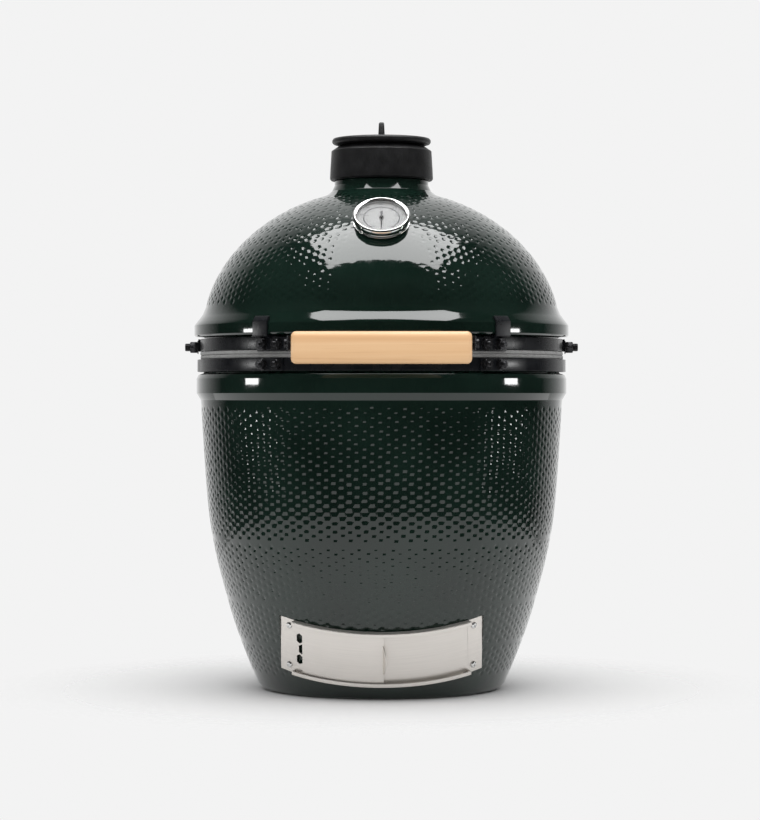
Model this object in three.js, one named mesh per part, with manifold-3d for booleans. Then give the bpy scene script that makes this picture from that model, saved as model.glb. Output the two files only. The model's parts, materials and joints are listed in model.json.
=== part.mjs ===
// Kamado ceramic grill in millimetres. +Z is up and the front faces -Y.
// The origin is the middle of the foot, on the surface that the grill stands on.
import * as THREE from 'three';
import { mergeVertices } from 'three/addons/utils/BufferGeometryUtils.js';
import Module from 'manifold-3d';

const wasm = await Module();
wasm.setup();

// ---- Driving dimensions ---------------------------------------------------------------------

const GAP = 0.3; // between pieces that touch
const RING_SIDES = 36; // facets round the large turned pieces
const SMALL_SIDES = 24; // facets round the cap and the gauge
const WALL = 27; // ceramic wall

const FOOT_RADIUS = 170;
const FLOOR_TOP = 28; // inside floor of the pot
const BASE_TOP = 488.6;
const BASE_GROOVE_RADIUS = 264.8; // where the lower band sits
const BASE_RIM_RADIUS = 275.5;
const BASE_RIM = { bevel: 428.5, bottom: 438.8, top: 460 };
// [radius, height] points that the pot's belly curves through
const BELLY = [[184, 10], [213.5, 82], [235, 154], [248.5, 209], [257.5, 265], [264, 345], [268.7, 422.5]];

const GASKET_HEIGHT = 5.4;
const GASKET_RADIUS = { inner: 243, outer: 269.6 };

const LID_BOTTOM = BASE_TOP + 2 * GASKET_HEIGHT + 3 * GAP;
const LID_GROOVE_RADIUS = 263.7; // where the upper band sits
const LID_RIM_RADIUS = 278.7;
const LID_RIM = { bottom: 521.8, top: 538.6 };
const SHOULDER = { outer: 277.6, bottom: 540.6, inner: 266.6, top: 555 }; // slope above the lid's rim
const DOME = { centre: 520, across: 268, up: 224, start: 558.5, end: 730 };
const DOME_INSIDE = { across: 241, up: 200 };
const NECK_RADIUS = 70;
const NECK_STEP = 755.2; // the cap's collar rests here
const NECK_SPIGOT_RADIUS = 66; // the neck's end, inside the collar
const NECK_TOP = 799.7;
const CHIMNEY_RADIUS = 48;

const BAND = { thickness: 2.7, lowerInner: 268.4, upperInner: 267.3, slack: 0.2 };
const LOWER_BAND = { bottom: 470.3, top: 488.4 };
const UPPER_BAND = { bottom: 500.6, top: 518.8 };
const BAND_LAP = { frontHalf: 46, rearStart: 30.6, sideFront: 94, sideRear: 86 }; // degrees from the front
const BAND_BOLT_ANGLES = [32.5, 37.9];
const NUT = { across: 14, height: 7.8, stud: 4, proud: 4.5 };
const SIDE_NUT = { across: 17, height: 12, stud: 6, proud: 7.6, flange: 9 };

const STRAP = 3; // thickness of the handle and hinge steel
const HANDLE = { length: 250, height: 45, depth: 30, front: -330, middle: 501.5, corner: 12 };
const BRACKET = { bottom: 498, top: 518, inner: 28.3, outer: 40.4, fingerInner: 35.1, boltHeight: 507.8 };
const EAR = { inside: 127.3, reach: -324, root: -239, screwY: -315, screwZ: 507 };

const HINGE = { y: 305, z: 495, pin: 4, hole: 4.6, padAngle: 14.8 };
const SPRING = { arm: 50, rise: 37.5, length: 150, x: 30, radius: 9.5, wire: 3, turns: 7 };
const LOWER_ARM_X = 62;
const UPPER_ARM_X = 55.5;
const HINGE_BOLT_ANGLE = 9.5;

const DRAFT = {
  tilt: 21, axisY: -10.9, axisZ: 137.3, // the doors slide round this leaning axis
  seat: 210, half: 42, side: 43, channel: 35.4, // radius, half height, half angles
  windowLeft: -34.9, windowRight: -2.5, windowHalf: 25, lip: 6,
};
const DRAFT_SCREW = { angle: 38.4, height: 31, head: 4.4, shank: 2 };
const DOOR = { radius: 215.2, left: -31.5, right: 0.9, half: 39 };
const SCREEN = { radius: 212.9, left: -35.1, right: 0.4, half: 39.6 };
// holes in the screen, three up each column with the middle one shifted sideways
const HOLE = { high: 7.6, shoulder: 4.4, wide: 4.6, rise: 16.5, shift: 1, first: 1.9, pitch: 4 };
const PORT = { left: -104, right: -8, bottom: 38, top: 86 };

const GAUGE = { y: -185, z: 682, tilt: 41, radius: 41.4, stem: 3 };

const COLLAR = { bottom: 755.5, top: 807, radius: 76.9, inner: 69 };
const CAP = { pivotY: 57, radius: 73.5, seat: 62.7, floor: 812, top: 818.6 };
const VENTS = { count: 5, inner: 15, outer: 38, width: 30 };
const ROTOR = { radius: 46, thickness: 3, hub: 9, tabTop: 840, tabHalf: 5 };

const GRID = { radius: 228, bottom: 420.3, pitch: 26, bar: 7, thickness: 6 };
const GRATE = { radius: 117, bottom: 120.3, thickness: 8, slots: 10 };

// ---- Geometry helpers -----------------------------------------------------------------------

const rad = THREE.MathUtils.degToRad;

function toSolid(geometry) {
  const bare = geometry.index ? geometry.toNonIndexed() : geometry.clone();
  bare.deleteAttribute('normal');
  bare.deleteAttribute('uv');
  const merged = mergeVertices(bare, 1e-3);
  return new wasm.Manifold(new wasm.Mesh({
    numProp: 3,
    vertProperties: merged.attributes.position.array,
    triVerts: new Uint32Array(merged.index.array),
  }));
}

function toGeometry(solid) {
  const mesh = solid.getMesh();
  const geometry = new THREE.BufferGeometry();
  geometry.setAttribute('position', new THREE.BufferAttribute(mesh.vertProperties, 3));
  geometry.setIndex(new THREE.BufferAttribute(mesh.triVerts, 1));
  return geometry;
}

function combine(operation, [first, ...others]) {
  const start = toSolid(first);
  return toGeometry(others.reduce((solid, other) => solid[operation](toSolid(other)), start));
}

const join = (...shapes) => combine('add', shapes);
const cut = (...shapes) => combine('subtract', shapes);
const common = (...shapes) => combine('intersect', shapes);

// A profile of [radius, height] points turned about Z. It runs anticlockwise, and either starts
// and ends on the axis or is closed here.
function turned(profile, sides = RING_SIDES) {
  const points = profile.map(([radius, height]) => new THREE.Vector2(radius, height));
  if (profile[0][0] > 0) points.push(points[0].clone());
  return new THREE.LatheGeometry(points, sides).rotateX(Math.PI / 2);
}

const ring = (inner, outer, bottom, top, sides) => turned(
  [[inner, bottom], [outer, bottom], [outer, top], [inner, top]], sides);

// An outline of [x, y] points extruded along Z.
function extruded(outline, bottom, top) {
  const shape = new THREE.Shape(outline.map(([x, y]) => new THREE.Vector2(x, y)));
  const geometry = new THREE.ExtrudeGeometry(shape, { depth: top - bottom, bevelEnabled: false });
  return geometry.translate(0, 0, bottom);
}

// An outline of [y, z] points extruded along X.
function sidePlate(outline, left, right) {
  const cycle = new THREE.Matrix4().set(0, 0, 1, 0, 1, 0, 0, 0, 0, 1, 0, 0, 0, 0, 0, 1);
  return extruded(outline, left, right).applyMatrix4(cycle);
}

function block([x0, y0, z0], [x1, y1, z1]) {
  const geometry = new THREE.BoxGeometry(x1 - x0, y1 - y0, z1 - z0);
  return geometry.translate((x0 + x1) / 2, (y0 + y1) / 2, (z0 + z1) / 2);
}

function rod(radius, from, to, sides = 12) {
  const start = new THREE.Vector3(...from);
  const span = new THREE.Vector3(...to).sub(start);
  const geometry = new THREE.CylinderGeometry(radius, radius, span.length(), sides);
  const turn = new THREE.Quaternion().setFromUnitVectors(
    new THREE.Vector3(0, 1, 0), span.clone().normalize());
  const middle = start.addScaledVector(span, 0.5);
  return geometry.applyQuaternion(turn).translate(middle.x, middle.y, middle.z);
}

// Angles are measured about Z from the front (-Y) towards +X.
const polar = (radius, angle) => [radius * Math.sin(rad(angle)), -radius * Math.cos(rad(angle))];

function arcPoints(radius, start, end, steps) {
  return Array.from({ length: steps + 1 }, (_, i) => polar(radius, start + ((end - start) * i) / steps));
}

// Keeps the part of a turned shape that lies between two angles.
function between(shape, start, end, reach = 320) {
  shape.computeBoundingBox();
  const { min, max } = shape.boundingBox;
  const steps = Math.ceil((end - start) / 30);
  const sector = [[0, 0], ...arcPoints(reach, start, end, steps)];
  return common(shape, extruded(sector, min.z - 1, max.z + 1));
}

function curveThrough(points, divisions) {
  const curve = new THREE.SplineCurve(points.map(([radius, height]) => new THREE.Vector2(radius, height)));
  return curve.getPoints(divisions).map((point) => [point.x, point.y]);
}

// Points of a dome's ellipse from one height up to another.
function domeArc({ across, up }, from, to, steps) {
  const angle = (height) => Math.asin((height - DOME.centre) / up);
  return Array.from({ length: steps + 1 }, (_, i) => {
    const turn = angle(from) + ((angle(to) - angle(from)) * i) / steps;
    return [across * Math.cos(turn), DOME.centre + up * Math.sin(turn)];
  });
}

class Helix extends THREE.Curve {
  constructor(radius, bottom, top, turns) {
    super();
    Object.assign(this, { radius, bottom, top, turns });
  }

  getPoint(t, target = new THREE.Vector3()) {
    const angle = 2 * Math.PI * this.turns * t;
    const height = this.bottom + (this.top - this.bottom) * t;
    return target.set(this.radius * Math.cos(angle), this.radius * Math.sin(angle), height);
  }
}

// ---- Materials ------------------------------------------------------------------------------

function finish(color, roughness, metalness = 0) {
  return new THREE.MeshStandardMaterial({ color, roughness, metalness });
}

const GLAZE = finish('#14352b', 0.15);
const FIRECLAY = finish('#c9b79c', 0.9);
const FELT = finish('#6d6d6d', 1);
const BLACK_STEEL = finish('#17181a', 0.4);
const CAST_IRON = finish('#141414', 0.6, 0.3);
const ZINC_BLACK = finish('#1c1c1e', 0.35, 0.7);
const BRUSHED_STEEL = finish('#cfcac4', 0.35, 1);
const BRIGHT_STEEL = finish('#d8d8d8', 0.15, 1);
const SPRING_STEEL = finish('#8d8f92', 0.3, 1);
const WOOD = finish('#dca873', 0.5);
const DIAL_WHITE = finish('#e4e4e4', 0.5);
const NEEDLE_BLACK = finish('#101010', 0.5);
const CLEAR_GLASS = new THREE.MeshStandardMaterial({
  color: '#ffffff', roughness: 0.05, transparent: true, opacity: 0.3,
});

function piece(name, geometry, material) {
  const mesh = new THREE.Mesh(geometry, material);
  mesh.name = name;
  return mesh;
}

function assembly(...pieces) {
  const group = new THREE.Group();
  group.add(...pieces.flat());
  return group;
}

// ---- Fasteners ------------------------------------------------------------------------------

// Points a shape built along +Z outwards from the Z axis, at an angle and a height.
function pointOutwards(geometry, angle, height) {
  return geometry.rotateX(Math.PI / 2).rotateZ(rad(angle)).translate(0, 0, height);
}

// A band bolt: a flat head inside the band, a stud through it and a hexagon nut, which has a
// flange where the size gives one.
function bandBolt(size, inside, outside) {
  const headHeight = 1.7;
  const face = outside + GAP;
  const nutTop = face + size.height;
  const stud = rod(size.stud, [0, 0, inside - GAP - 1], [0, 0, nutTop + size.proud], 6);
  const head = rod(size.stud + 0.8, [0, 0, inside - GAP - headHeight], [0, 0, inside - GAP], 6);
  const nut = rod(size.across / Math.sqrt(3), [0, 0, face], [0, 0, nutTop], 6);
  const flange = size.flange ? [rod(size.flange, [0, 0, face], [0, 0, face + 1.6], 10)] : [];
  return join(stud, head, nut, ...flange);
}

const boltHole = (size, reach) => rod(size.stud + 0.8, [0, 0, reach - 30], [0, 0, reach + 30], 8);

// The band's inside as the flat facets leave it.
const facetRadius = (radius) => radius * Math.cos(Math.PI / RING_SIDES) - BAND.slack;

function drilled(shape, size, reach, angles, height) {
  const holes = angles.map((angle) => pointOutwards(boltHole(size, reach), angle, height));
  return cut(shape, ...holes);
}

const mirrored = (angles) => [...angles, ...angles.map((angle) => -angle)];

// ---- Ceramics -------------------------------------------------------------------------------

// Turns a shape from the draft assembly's own frame, whose Z is the leaning axis, to the grill's.
const draftPlace = new THREE.Matrix4()
  .makeRotationX(rad(DRAFT.tilt))
  .setPosition(0, DRAFT.axisY, DRAFT.axisZ);

const screwPlaces = [-1, 1].flatMap((side) => [-1, 1].map((end) => (
  { angle: side * DRAFT_SCREW.angle, height: end * DRAFT_SCREW.height })));

function portCutter(front, back) {
  return block([PORT.left, front, PORT.bottom], [PORT.right, back, PORT.top]);
}

function draftSeatCutter() {
  const ahead = ring(DRAFT.seat - GAP, 260, -DRAFT.half - 1, DRAFT.half + 1);
  return between(ahead, -DRAFT.side - 0.6, DRAFT.side + 0.6).applyMatrix4(draftPlace);
}

function baseShell() {
  const outside = curveThrough(BELLY, 9);
  const inside = outside.filter(([, height], i) => height > 50 && i % 2).reverse()
    .map(([radius, height]) => [radius - WALL, height]);
  const innerRadius = inside[0][0];
  const pot = turned([
    [0, 0], [FOOT_RADIUS, 0], [178, 3],
    ...outside,
    [269.4, BASE_RIM.bevel], [BASE_RIM_RADIUS, BASE_RIM.bottom], [BASE_RIM_RADIUS, BASE_RIM.top], [273, 466],
    [BASE_GROOVE_RADIUS, 468.3], [BASE_GROOVE_RADIUS, BASE_TOP],
    [innerRadius, BASE_TOP],
    ...inside,
    [150, FLOOR_TOP + 6], [138, FLOOR_TOP], [0, FLOOR_TOP],
  ]);
  const screwHoles = screwPlaces.map(({ angle, height }) => pointOutwards(
    rod(DRAFT_SCREW.shank + 0.6, [0, 0, 188], [0, 0, 230], 8), angle, height).applyMatrix4(draftPlace));
  return cut(pot, draftSeatCutter(), portCutter(-260, -95), ...screwHoles);
}

function fireBox() {
  const bowl = turned([
    [114, FLOOR_TOP + GAP], [134, FLOOR_TOP + GAP], [184, 115], [208, 200], [212, 329.7],
    [193, 329.7], [190, 208], [156, 138], [122, 120], [96, 120], [96, 104], [112, 100],
  ]);
  return cut(bowl, portCutter(-230, -45));
}

function domeShell() {
  const shell = turned([
    [LID_GROOVE_RADIUS, LID_BOTTOM], [LID_GROOVE_RADIUS, 521.3],
    [276.5, LID_RIM.bottom], [LID_RIM_RADIUS, 524.6], [LID_RIM_RADIUS, LID_RIM.top],
    [SHOULDER.outer, SHOULDER.bottom], [SHOULDER.inner, SHOULDER.top],
    ...domeArc(DOME, DOME.start, DOME.end, 8),
    [82, 733], [74, 739.5], [NECK_RADIUS, 748], [NECK_RADIUS, NECK_STEP],
    [NECK_SPIGOT_RADIUS, NECK_STEP], [NECK_SPIGOT_RADIUS, NECK_TOP],
    [CHIMNEY_RADIUS, NECK_TOP],
    ...domeArc(DOME_INSIDE, 520, 716, 5).reverse(),
    [DOME_INSIDE.across, LID_BOTTOM],
  ]);
  const stemHole = rod(GAUGE.stem + 2, [0, 0, -60], [0, 0, 20], 12);
  stemHole.rotateX(rad(GAUGE.tilt)).translate(0, GAUGE.y, GAUGE.z);
  return cut(shell, stemHole);
}

function circleOutline(radius, sides) {
  return arcPoints(radius, 0, 360 - 360 / sides, sides - 1);
}

function cookingGrid() {
  const half = (GRID.pitch - GRID.bar) / 2;
  const inside = GRID.radius - GRID.bar;
  const top = GRID.bottom + GRID.thickness;
  const last = Math.floor((inside - half) / GRID.pitch - 0.5);
  const slots = [];
  for (let i = -last - 1; i <= last; i += 1) {
    const x = (i + 0.5) * GRID.pitch;
    const reach = Math.sqrt(inside ** 2 - (Math.abs(x) + half) ** 2);
    slots.push(block([x - half, -reach, GRID.bottom - 1], [x + half, reach, top + 1]));
  }
  return cut(extruded(circleOutline(GRID.radius, RING_SIDES), GRID.bottom, top), ...slots);
}

function fireGrate() {
  const top = GRATE.bottom + GRATE.thickness;
  const slots = Array.from({ length: GRATE.slots }, (_, i) => {
    const angle = (360 * i) / GRATE.slots;
    const left = [polar(36, angle - 8), polar(100, angle - 5)];
    const right = [polar(100, angle + 5), polar(36, angle + 8)];
    return extruded([...left, ...right], GRATE.bottom - 1, top + 1);
  });
  return cut(extruded(circleOutline(GRATE.radius, SMALL_SIDES), GRATE.bottom, top), ...slots);
}

// ---- Bands ----------------------------------------------------------------------------------

function bandPart(layer, inner, { bottom, top }, start, end) {
  const radius = inner + layer * (BAND.thickness + GAP);
  return between(ring(radius, radius + BAND.thickness, bottom, top), start, end);
}

const middleOf = ({ bottom, top }) => (bottom + top) / 2;
const outsideOf = (inner, layers) => inner + layers * BAND.thickness + (layers - 1) * GAP;

function lowerBand() {
  const inner = BAND.lowerInner;
  const height = middleOf(LOWER_BAND);
  const angles = mirrored(BAND_BOLT_ANGLES);
  const lapStart = BAND_LAP.rearStart;
  const front = bandPart(0, inner, LOWER_BAND, -BAND_LAP.frontHalf, BAND_LAP.frontHalf);
  const rear = bandPart(1, inner, LOWER_BAND, lapStart, 360 - lapStart);
  const hingeAngles = [180 - HINGE_BOLT_ANGLE, 180 + HINGE_BOLT_ANGLE];
  const bolts = angles.map((angle, i) => piece(
    `lower_band_bolt_${i + 1}`,
    pointOutwards(bandBolt(NUT, facetRadius(inner), outsideOf(inner, 2)), angle, height),
    ZINC_BLACK));
  return [
    piece('lower_band_front', drilled(front, NUT, inner, angles, height), BLACK_STEEL),
    piece('lower_band_rear', drilled(rear, NUT, inner, [...angles, ...hingeAngles], height), BLACK_STEEL),
    ...bolts,
  ];
}

function upperBand() {
  const inner = BAND.upperInner;
  const height = middleOf(UPPER_BAND);
  const { sideFront, sideRear } = BAND_LAP;
  const front = bandPart(0, inner, UPPER_BAND, -sideFront, sideFront);
  const rear = bandPart(1, inner, UPPER_BAND, sideRear, 360 - sideRear);
  const hingeAngles = [180 - HINGE_BOLT_ANGLE, 180 + HINGE_BOLT_ANGLE];
  const sideHeight = height - 2.7;
  const sideBolts = [['left', -90], ['right', 90]].map(([side, angle]) => piece(
    `side_bolt_${side}`,
    pointOutwards(bandBolt(SIDE_NUT, facetRadius(inner), outsideOf(inner, 2)), angle, sideHeight),
    ZINC_BLACK));
  const frontDrilled = drilled(front, NUT, inner, mirrored(BAND_BOLT_ANGLES), BRACKET.boltHeight);
  const rearDrilled = drilled(rear, NUT, inner, hingeAngles, height);
  return [
    piece('upper_band_front', drilled(frontDrilled, SIDE_NUT, inner, [-90, 90], sideHeight), BLACK_STEEL),
    piece('upper_band_rear', drilled(rearDrilled, SIDE_NUT, inner, [-90, 90], sideHeight), BLACK_STEEL),
    ...sideBolts,
  ];
}

// ---- Handle ---------------------------------------------------------------------------------

// A point beside the slope above the lid's rim: a share of the way up, and a distance off it.
function besideShoulder(share, distance) {
  const run = SHOULDER.outer - SHOULDER.inner;
  const rise = SHOULDER.top - SHOULDER.bottom;
  const length = Math.hypot(run, rise);
  return [
    SHOULDER.outer - share * run + (distance * rise) / length,
    SHOULDER.bottom + share * rise + (distance * run) / length,
  ];
}

// The right-hand bracket: a plate on the band, an ear for the grip and a finger over the rim.
function handleBracket() {
  const inner = outsideOf(BAND.upperInner, 1) + GAP;
  const outer = inner + STRAP;
  const plate = between(ring(inner, outer, BRACKET.bottom, BRACKET.top), BRACKET.inner, BRACKET.outer);
  const ear = block([EAR.inside, EAR.reach, BRACKET.bottom], [EAR.inside + STRAP, EAR.root, BRACKET.top]);
  const rimInner = LID_RIM_RADIUS + 0.5;
  const rimOuter = rimInner + STRAP;
  const finger = turned([
    [inner, BRACKET.bottom], [outer, BRACKET.bottom], [outer, 516.3], [rimOuter, 519],
    [rimOuter, SHOULDER.bottom], besideShoulder(0.4, 0.5 + STRAP), besideShoulder(0.4, 0.5),
    [rimInner, SHOULDER.bottom - 1.2], [rimInner, 521.4], [inner, 518.8],
  ]);
  const whole = join(plate, ear, between(finger, BRACKET.fingerInner, BRACKET.outer));
  const screwHole = rod(3.6, [100, EAR.screwY, EAR.screwZ], [150, EAR.screwY, EAR.screwZ], 10);
  return cut(drilled(whole, NUT, outer, BAND_BOLT_ANGLES, BRACKET.boltHeight), screwHole);
}

function handleBar() {
  const half = { y: HANDLE.depth / 2, z: HANDLE.height / 2 };
  const corner = HANDLE.corner;
  const middleY = HANDLE.front + half.y;
  const outline = [[1, 1, 0], [-1, 1, 90], [-1, -1, 180], [1, -1, 270]].flatMap(([sy, sz, start]) => (
    [0, 22.5, 45, 67.5, 90].map((step) => [
      middleY + sy * (half.y - corner) + corner * Math.cos(rad(start + step)),
      HANDLE.middle + sz * (half.z - corner) + corner * Math.sin(rad(start + step)),
    ])));
  const bar = sidePlate(outline, -HANDLE.length / 2, HANDLE.length / 2);
  const screwHoles = [-1, 1].map((side) => rod(
    3.6, [side * 100, EAR.screwY, EAR.screwZ], [side * 140, EAR.screwY, EAR.screwZ], 10));
  return cut(bar, ...screwHoles);
}

function handleScrew() {
  const headStart = EAR.inside + STRAP + GAP;
  const line = (x) => [x, EAR.screwY, EAR.screwZ];
  return join(rod(6.5, line(headStart), line(headStart + 4), 12), rod(3, line(103), line(headStart + 1), 8));
}

// The right-hand part as it is, and its mirror image for the left. A mirror turns the faces
// inside out, so each triangle is turned back.
function leftOf(geometry) {
  const mirror = geometry.toNonIndexed().scale(-1, 1, 1);
  const { array } = mirror.attributes.position;
  for (let i = 0; i < array.length; i += 9) {
    const second = array.slice(i + 3, i + 6);
    array.copyWithin(i + 3, i + 6, i + 9);
    array.set(second, i + 6);
  }
  return mirror;
}

function handle() {
  const inner = BAND.upperInner;
  const outside = outsideOf(inner, 1) + GAP + STRAP;
  const bolts = mirrored(BAND_BOLT_ANGLES).map((angle, i) => piece(
    `bracket_bolt_${i + 1}`,
    pointOutwards(bandBolt(NUT, facetRadius(inner), outside), angle, BRACKET.boltHeight),
    ZINC_BLACK));
  return [
    piece('handle_bracket_right', handleBracket(), BLACK_STEEL),
    piece('handle_bracket_left', leftOf(handleBracket()), BLACK_STEEL),
    piece('handle_bar', handleBar(), WOOD),
    piece('handle_screw_right', handleScrew(), ZINC_BLACK),
    piece('handle_screw_left', leftOf(handleScrew()), ZINC_BLACK),
    ...bolts,
  ];
}

// ---- Rear hinge with lifting springs --------------------------------------------------------

const springY = HINGE.y + SPRING.arm * Math.cos(rad(SPRING.rise));
const springTop = HINGE.z + SPRING.arm * Math.sin(rad(SPRING.rise));
const springBottom = springTop - SPRING.length;

function hingeBracket(inner, { bottom, top }, armOutline, armX, rodZ) {
  const angles = [180 - HINGE.padAngle, 180 + HINGE.padAngle];
  const pad = between(ring(inner, inner + STRAP, bottom, top), ...angles);
  const arms = [-armX, armX].map((x) => sidePlate(armOutline, x - STRAP / 2, x + STRAP / 2));
  const springRod = rod(4, [-armX, springY, rodZ], [armX, springY, rodZ], 10);
  const pinHole = rod(HINGE.hole, [-100, HINGE.y, HINGE.z], [100, HINGE.y, HINGE.z], 16);
  const whole = cut(join(pad, ...arms, springRod), pinHole);
  const boltAngles = [180 - HINGE_BOLT_ANGLE, 180 + HINGE_BOLT_ANGLE];
  return drilled(whole, NUT, inner, boltAngles, (bottom + top) / 2);
}

function lowerHingeBracket() {
  const outline = [
    [268.6, LOWER_BAND.bottom], [288, 468], [springY - 13, springBottom + 1], [springY - 2, springBottom - 9],
    [springY + 9, springBottom], [317, 494], [311, 505], [299, 505], [288, LOWER_BAND.top],
    [268.6, LOWER_BAND.top],
  ];
  const inner = outsideOf(BAND.lowerInner, 2) + GAP;
  return hingeBracket(inner, LOWER_BAND, outline, LOWER_ARM_X, springBottom);
}

function upperHingeBracket() {
  const outline = [
    [269.4, UPPER_BAND.bottom], [294, 490], [304, 484], [315, 489], [springY + 6, springTop - 8],
    [springY + 8, springTop + 3], [springY, springTop + 9], [springY - 9, springTop + 5],
    [300, 508], [290, UPPER_BAND.top], [269.4, UPPER_BAND.top],
  ];
  const inner = outsideOf(BAND.upperInner, 2) + GAP;
  return hingeBracket(inner, UPPER_BAND, outline, UPPER_ARM_X, springTop);
}

function hingePin() {
  const line = (x) => [x, HINGE.y, HINGE.z];
  const headStart = LOWER_ARM_X + STRAP / 2 + GAP;
  const head = rod(7, line(headStart), line(headStart + 4), 12);
  return join(rod(HINGE.pin, line(48), line(headStart + 1), 12), head);
}

function hingeSpring(x) {
  const clear = 8;
  const path = new Helix(SPRING.radius, springBottom + clear, springTop - clear, SPRING.turns);
  const section = new THREE.Shape(circleOutline(SPRING.wire / 2, 4).map(([a, b]) => new THREE.Vector2(a, b)));
  const steps = SPRING.turns * 7;
  return new THREE.ExtrudeGeometry(section, { steps, extrudePath: path }).translate(x, springY, 0);
}

function hingeBolts(prefix, inner, layers, { bottom, top }) {
  const innerFace = facetRadius(inner + BAND.thickness + GAP);
  const outside = outsideOf(inner, layers) + GAP + STRAP;
  return [['left', 180 + HINGE_BOLT_ANGLE], ['right', 180 - HINGE_BOLT_ANGLE]].map(([side, angle]) => piece(
    `${prefix}_bolt_${side}`,
    pointOutwards(bandBolt(NUT, innerFace, outside), angle, (bottom + top) / 2),
    ZINC_BLACK));
}

// ---- Sliding air door -----------------------------------------------------------------------

// These are built about the leaning axis and set in place by the group that holds them.

function draftFrame() {
  const { seat, half, side, channel, lip } = DRAFT;
  const sheet = 1.6;
  const lipInner = DOOR.radius + 2.8;
  const lipOuter = lipInner + sheet;
  const back = between(ring(seat + GAP, seat + 2, -half, half), -side, side);
  const windowShape = between(
    ring(seat - 5, seat + 20, -DRAFT.windowHalf, DRAFT.windowHalf), DRAFT.windowLeft, DRAFT.windowRight);
  const rails = [-1, 1].map((end) => {
    const profile = [
      [seat + 1, half - sheet], [lipInner, half - sheet], [lipInner, half - lip], [lipOuter, half - lip],
      [lipOuter, half], [seat + 1, half],
    ];
    const placed = end > 0 ? profile : profile.map(([radius, height]) => [radius, -height]).reverse();
    return between(turned(placed), -channel - 0.5, channel + 0.5);
  });
  const stops = [[-half, lip - half], [half - lip, half]].flatMap(([low, high]) => {
    const bar = ring(seat + 1, lipOuter, low, high);
    return [between(bar, -channel - 0.5, -channel), between(bar, channel, channel + 0.5)];
  });
  const screwHoles = screwPlaces.map(({ angle, height }) => pointOutwards(
    rod(DRAFT_SCREW.shank + 0.5, [0, 0, 200], [0, 0, 225], 8), angle, height));
  return cut(join(cut(back, windowShape), ...rails, ...stops), ...screwHoles);
}

function draftScrew({ angle, height }) {
  const face = DRAFT.seat + 2 + GAP;
  const head = rod(DRAFT_SCREW.head, [0, 0, face], [0, 0, face + 2.2], 12);
  const shank = rod(DRAFT_SCREW.shank, [0, 0, 191], [0, 0, face + 1], 6);
  return pointOutwards(join(head, shank), angle, height);
}

function draftDoor() {
  const sheet = 1.5;
  const { radius, left, right, half } = DOOR;
  const plate = between(ring(radius, radius + sheet, -half, half), left, right);
  const tab = between(ring(radius + sheet / 2, radius + 13, -23, 22), right - 0.4, right);
  return join(plate, tab);
}

// Staggered columns of long hexagonal holes in the screen.
function draftScreen() {
  const sheet = 1;
  const { radius, left, right, half } = SCREEN;
  const plate = between(ring(radius, radius + sheet, -half, half), left, right);
  const outline = [
    [-HOLE.wide, -HOLE.shoulder], [0, -HOLE.high], [HOLE.wide, -HOLE.shoulder],
    [HOLE.wide, HOLE.shoulder], [0, HOLE.high], [-HOLE.wide, HOLE.shoulder],
  ];
  const columns = Math.floor((right - left - HOLE.pitch) / HOLE.pitch) + 1;
  const cutters = Array.from({ length: columns }, (_, column) => [-1, 0, 1].map((level) => {
    const angle = left + HOLE.first + column * HOLE.pitch + (level ? 0 : HOLE.shift);
    return pointOutwards(extruded(outline, 200, 225), angle, level * HOLE.rise);
  })).flat();
  return cut(plate, ...cutters);
}

// ---- Thermometer ----------------------------------------------------------------------------

// Built about its own stem, with Z outwards through the dial.

function gaugeCase() {
  return turned([
    [3.6, 1], [40.2, 1], [40.8, 3.2], [38, 3.8], [38, 11.2], [36.6, 11.2], [36.6, 2.6], [3.6, 2.6],
  ], SMALL_SIDES);
}

function gaugeBezel() {
  return turned([
    [38.4, 6.6], [40.6, 6.9], [GAUGE.radius, 10.5], [40.8, 14], [38.6, 15.8], [35.4, 14.4], [35.4, 13.8],
    [38.4, 13.8],
  ], SMALL_SIDES);
}

function gaugeNeedle() {
  const needle = extruded([[-1.1, -2], [-0.35, -27], [0.35, -27], [1.1, -2], [1.7, 0], [1.7, 14], [-1.7, 14],
    [-1.7, 0]], 9.6, 10.2);
  const hub = rod(3.2, [0, 0, 9.4], [0, 0, 11], 12);
  const shaft = rod(1.2, [0, 0, 4], [0, 0, 10], 8);
  return join(needle, hub, shaft);
}

function gaugeStem() {
  return join(rod(GAUGE.stem, [0, 0, -62], [0, 0, 3.4], 10), rod(5, [0, 0, 2.9], [0, 0, 3.6], 12));
}

function gauge() {
  const nut = cut(rod(9, [0, 0, -33], [0, 0, -28.5], 6), rod(GAUGE.stem + 0.4, [0, 0, -40], [0, 0, -20], 10));
  const group = assembly(
    piece('gauge_case', gaugeCase(), BRIGHT_STEEL),
    piece('gauge_bezel', gaugeBezel(), BRIGHT_STEEL),
    piece('gauge_glass', rod(37.8, [0, 0, 12], [0, 0, 13.4], SMALL_SIDES), CLEAR_GLASS),
    piece('gauge_dial', ring(1.8, 36, 7.6, 8.4, SMALL_SIDES), DIAL_WHITE),
    piece('gauge_needle', gaugeNeedle(), NEEDLE_BLACK),
    piece('gauge_stem', gaugeStem(), BRIGHT_STEEL),
    piece('gauge_nut', nut, BRIGHT_STEEL),
  );
  group.rotation.x = rad(GAUGE.tilt);
  group.position.set(0, GAUGE.y, GAUGE.z);
  return group;
}

// ---- Chimney cap ----------------------------------------------------------------------------

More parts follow.
